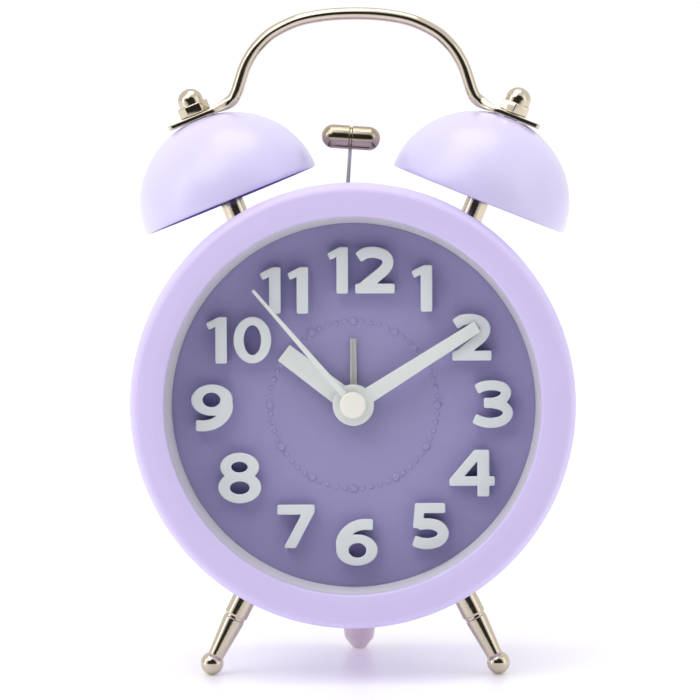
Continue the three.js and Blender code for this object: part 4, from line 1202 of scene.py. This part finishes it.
def makeKnob(name, x, body):
    radius, neck, start = knob["radius"], knob["neck"], cover["front"] - 0.8
    front, back = knob["front"], knob["back"]
    corners = [(0, start), (neck, start), (neck, front, 0.2), (radius - 0.4, front, 0.4)]
    corners += [(radius - 0.45, back, 0.7), (radius - 1.6, back, 0.3), (radius - 1.9, back - 0.35, 0.3)]
    corners += [(0, back - 0.35)]
    centre = Matrix.Translation((x, 0, 0))
    cap = turnedPiece(name + "Cap", softened(corners), 128, finish["hand"], place=centre)
    settle(cap, body, "hand_white", name)
    bm = bmesh.new()
    outline = roundedBox(-0.34, -0.35, 0.34, 0.35, 0.3)
    slab(bm, [outline], edged(front + 0.35, back - 0.55, 0.25, steps=3))
    grips = spread(
        name + "Grips", bm, ringTree, finish["hand"], toRow @ centre,
        Count=knob["grips"], Reach=radius - 0.4, Every=1, Big_Scale=1.0,
    )
    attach(grips, body)


def makeScrew(side, label):
    x, y, z = side * screw["x"], cover["back"] + 0.1, screw["z"]
    shank, head = screw["shank"], screw["head"]
    corners = [(0, y - 6.9), (shank, y - 6.6, 0.2), (shank, y), (head, y, 0.1), (head, y + 0.6, 0.5)]
    corners += [(head - 1.2, y + 1.25, 1.0), (0, y + 1.3)]
    centre = Matrix.Translation((x, 0, z))
    piece = turnedPiece(label + "CoverScrew", softened(corners), 64, finish["steel"], place=centre)
    long, thin = screw["cross"], screw["crossHalf"]
    tools = []
    for a, b in ((long, thin), (thin, long)):
        tools.append(toolBlock(x - a, x + a, y + 0.5, y + 3, z - b, z + b, 0.1))
    carve(piece, tools)
    settle(piece, "clock", "steel", "cover_screw_" + label)


def makeSwitch():
    inside = cover["front"] - 0.15
    x, z = switch["x"], switch["z"] - switch["travel"] / 2
    bm = bmesh.new()
    slab(bm, [roundedBox(x - 2.6, z - 5, x + 2.6, z + 5, 0.3)], edged(inside - 1.2, inside, 0.15))
    nub = roundedBox(x - 1.3, z - switch["nub"], x + 1.3, z + switch["nub"], 0.35)
    slab(bm, [nub], [(0, inside - 0.4)] + edged(inside - 0.4, cover["back"] + 1.6, 0.3)[5:])
    slider = meshObject("switchSlider", bm, [finish["hand"]])
    settle(slider, "switch", "hand_white", "alarm_switch")


makeShell()
makeCover()
makeDoor()
for name, (x, body) in knobPlaces.items():
    makeKnob(name, x, body)
makeScrew(-1, "left")
makeScrew(1, "right")
makeSwitch()

# pieces inside the case keep their own shape and get a finish
print("inside: finishes on the working parts")
inside = {
    "steel": "left_bell_stud right_bell_stud hammer_magnet hammer_pivot_pin striker_core left_leg_nut"
    " right_leg_nut battery_spring battery_contact rotor stator quartz_crystal",
    "copper": "striker_winding drive_coil",
    "inner": "striker_bobbin striker_bracket gear_bridge movement_front movement_back",
    "gear": "hammer_rocker minute_pinion minute_wheel hour_wheel alarm_wheel alarm_setting_arbor"
    " centre_wheel second_wheel third_wheel fifth_wheel",
    "board": "circuit_board",
    "jacket": "battery_cell",
}
for key, names in inside.items():
    for name in names.split():
        obj = frame["nodes"][name]
        obj.data.materials.clear()
        obj.data.materials.append(finish[key])

# stage: floor, light and camera
print("stage: floor, lamps and camera")


def makeFloor():
    bm = bmesh.new()
    bmesh.ops.create_grid(bm, x_segments=1, y_segments=1, size=8)
    pale, deep = (0.95, 0.95, 0.955), (0.93, 0.93, 0.94)
    material = skinned("floorWhite", pale, deep, 0.3, drift=0, bump=0, patch=4, grain=40)
    shader = material.node_tree.nodes["Principled BSDF"]
    shader.inputs["Emission Color"].default_value = (1, 0.99, 1, 1)
    shader.inputs["Emission Strength"].default_value = 0.13
    floor = meshObject("floor", bm, [material], place=Matrix())


def makeWorld():
    # a white studio with a dark patch behind the camera, which polished metal shows as dark strips
    studio = {"From Min": 0.6, "From Max": 0.74, "To Min": 0.92, "To Max": 0.03}
    world = bpy.data.worlds.new("studio")
    bpy.context.scene.world = world
    world.use_nodes = True
    tree = world.node_tree
    tree.nodes.clear()
    place = node(tree, "ShaderNodeTexCoord")
    towards = node(tree, "ShaderNodeVectorMath", operation="DOT_PRODUCT")
    towards.inputs[1].default_value = (0, -1, 0)
    patch = node(tree, "ShaderNodeMapRange", interpolation_type="SMOOTHSTEP")
    for label, value in studio.items():
        patch.inputs[label].default_value = value
    sky = node(tree, "ShaderNodeBackground", {"Color": (1, 0.995, 0.985, 1)})
    out = node(tree, "ShaderNodeOutputWorld")
    wire(tree, place, "Generated", towards, 0)
    wire(tree, towards, "Value", patch, "Value")
    wire(tree, patch, "Result", sky, "Strength")
    wire(tree, sky, 0, out, 0)


def makeLamp(name, place, size, power):
    data = bpy.data.lights.new(name, "AREA")
    data.shape = "RECTANGLE"
    data.size, data.size_y = size
    data.energy = power
    lamp = bpy.data.objects.new(name, data)
    bpy.context.scene.collection.objects.link(lamp)
    lamp.location = place
    lamp.rotation_euler = (Vector(aim) - Vector(place)).to_track_quat("-Z", "Y").to_euler()


def makeCamera():
    view = {"distance": 2.0, "azimuth": 1.72, "elevation": 9.0, "roll": -0.49, "lens": 522.5}
    view.update(right=-0.39, up=11.03)
    target = toRow @ Vector((view["right"], 0, view["up"]))
    around, above = math.radians(view["azimuth"]), math.radians(view["elevation"])
    flat = math.cos(above)
    away = Vector((math.sin(around) * flat, -math.cos(around) * flat, math.sin(above)))
    data = bpy.data.cameras.new("camera")
    data.lens = view["lens"]
    data.clip_start = 0.05
    data.clip_end = 50
    camera = bpy.data.objects.new("camera", data)
    bpy.context.scene.collection.objects.link(camera)
    camera.location = target + away * view["distance"]
    look = (-away).to_track_quat("-Z", "Y").to_matrix().to_4x4()
    camera.rotation_euler = (look @ Matrix.Rotation(math.radians(view["roll"]), 4, "Z")).to_euler()
    bpy.context.scene.camera = camera


makeFloor()
makeWorld()
lamps = {  # place in metres, size, power
    "key": ((-0.45, -0.5, 0.92), (0.8, 0.8), 2.9),
    "top": ((0.0, 0.05, 0.95), (0.6, 0.6), 2.2),
    "left": ((-0.9, -0.3, 0.25), (0.2, 0.9), 1.2),
    "right": ((0.8, -0.3, 0.35), (0.3, 0.8), 0.5),
}
aim = (0, 0, 0.065)  # the middle of the clock
for name, (place, size, power) in lamps.items():
    makeLamp(name, place, size, power)
makeCamera()
bpy.context.scene.view_settings.view_transform = "Standard"
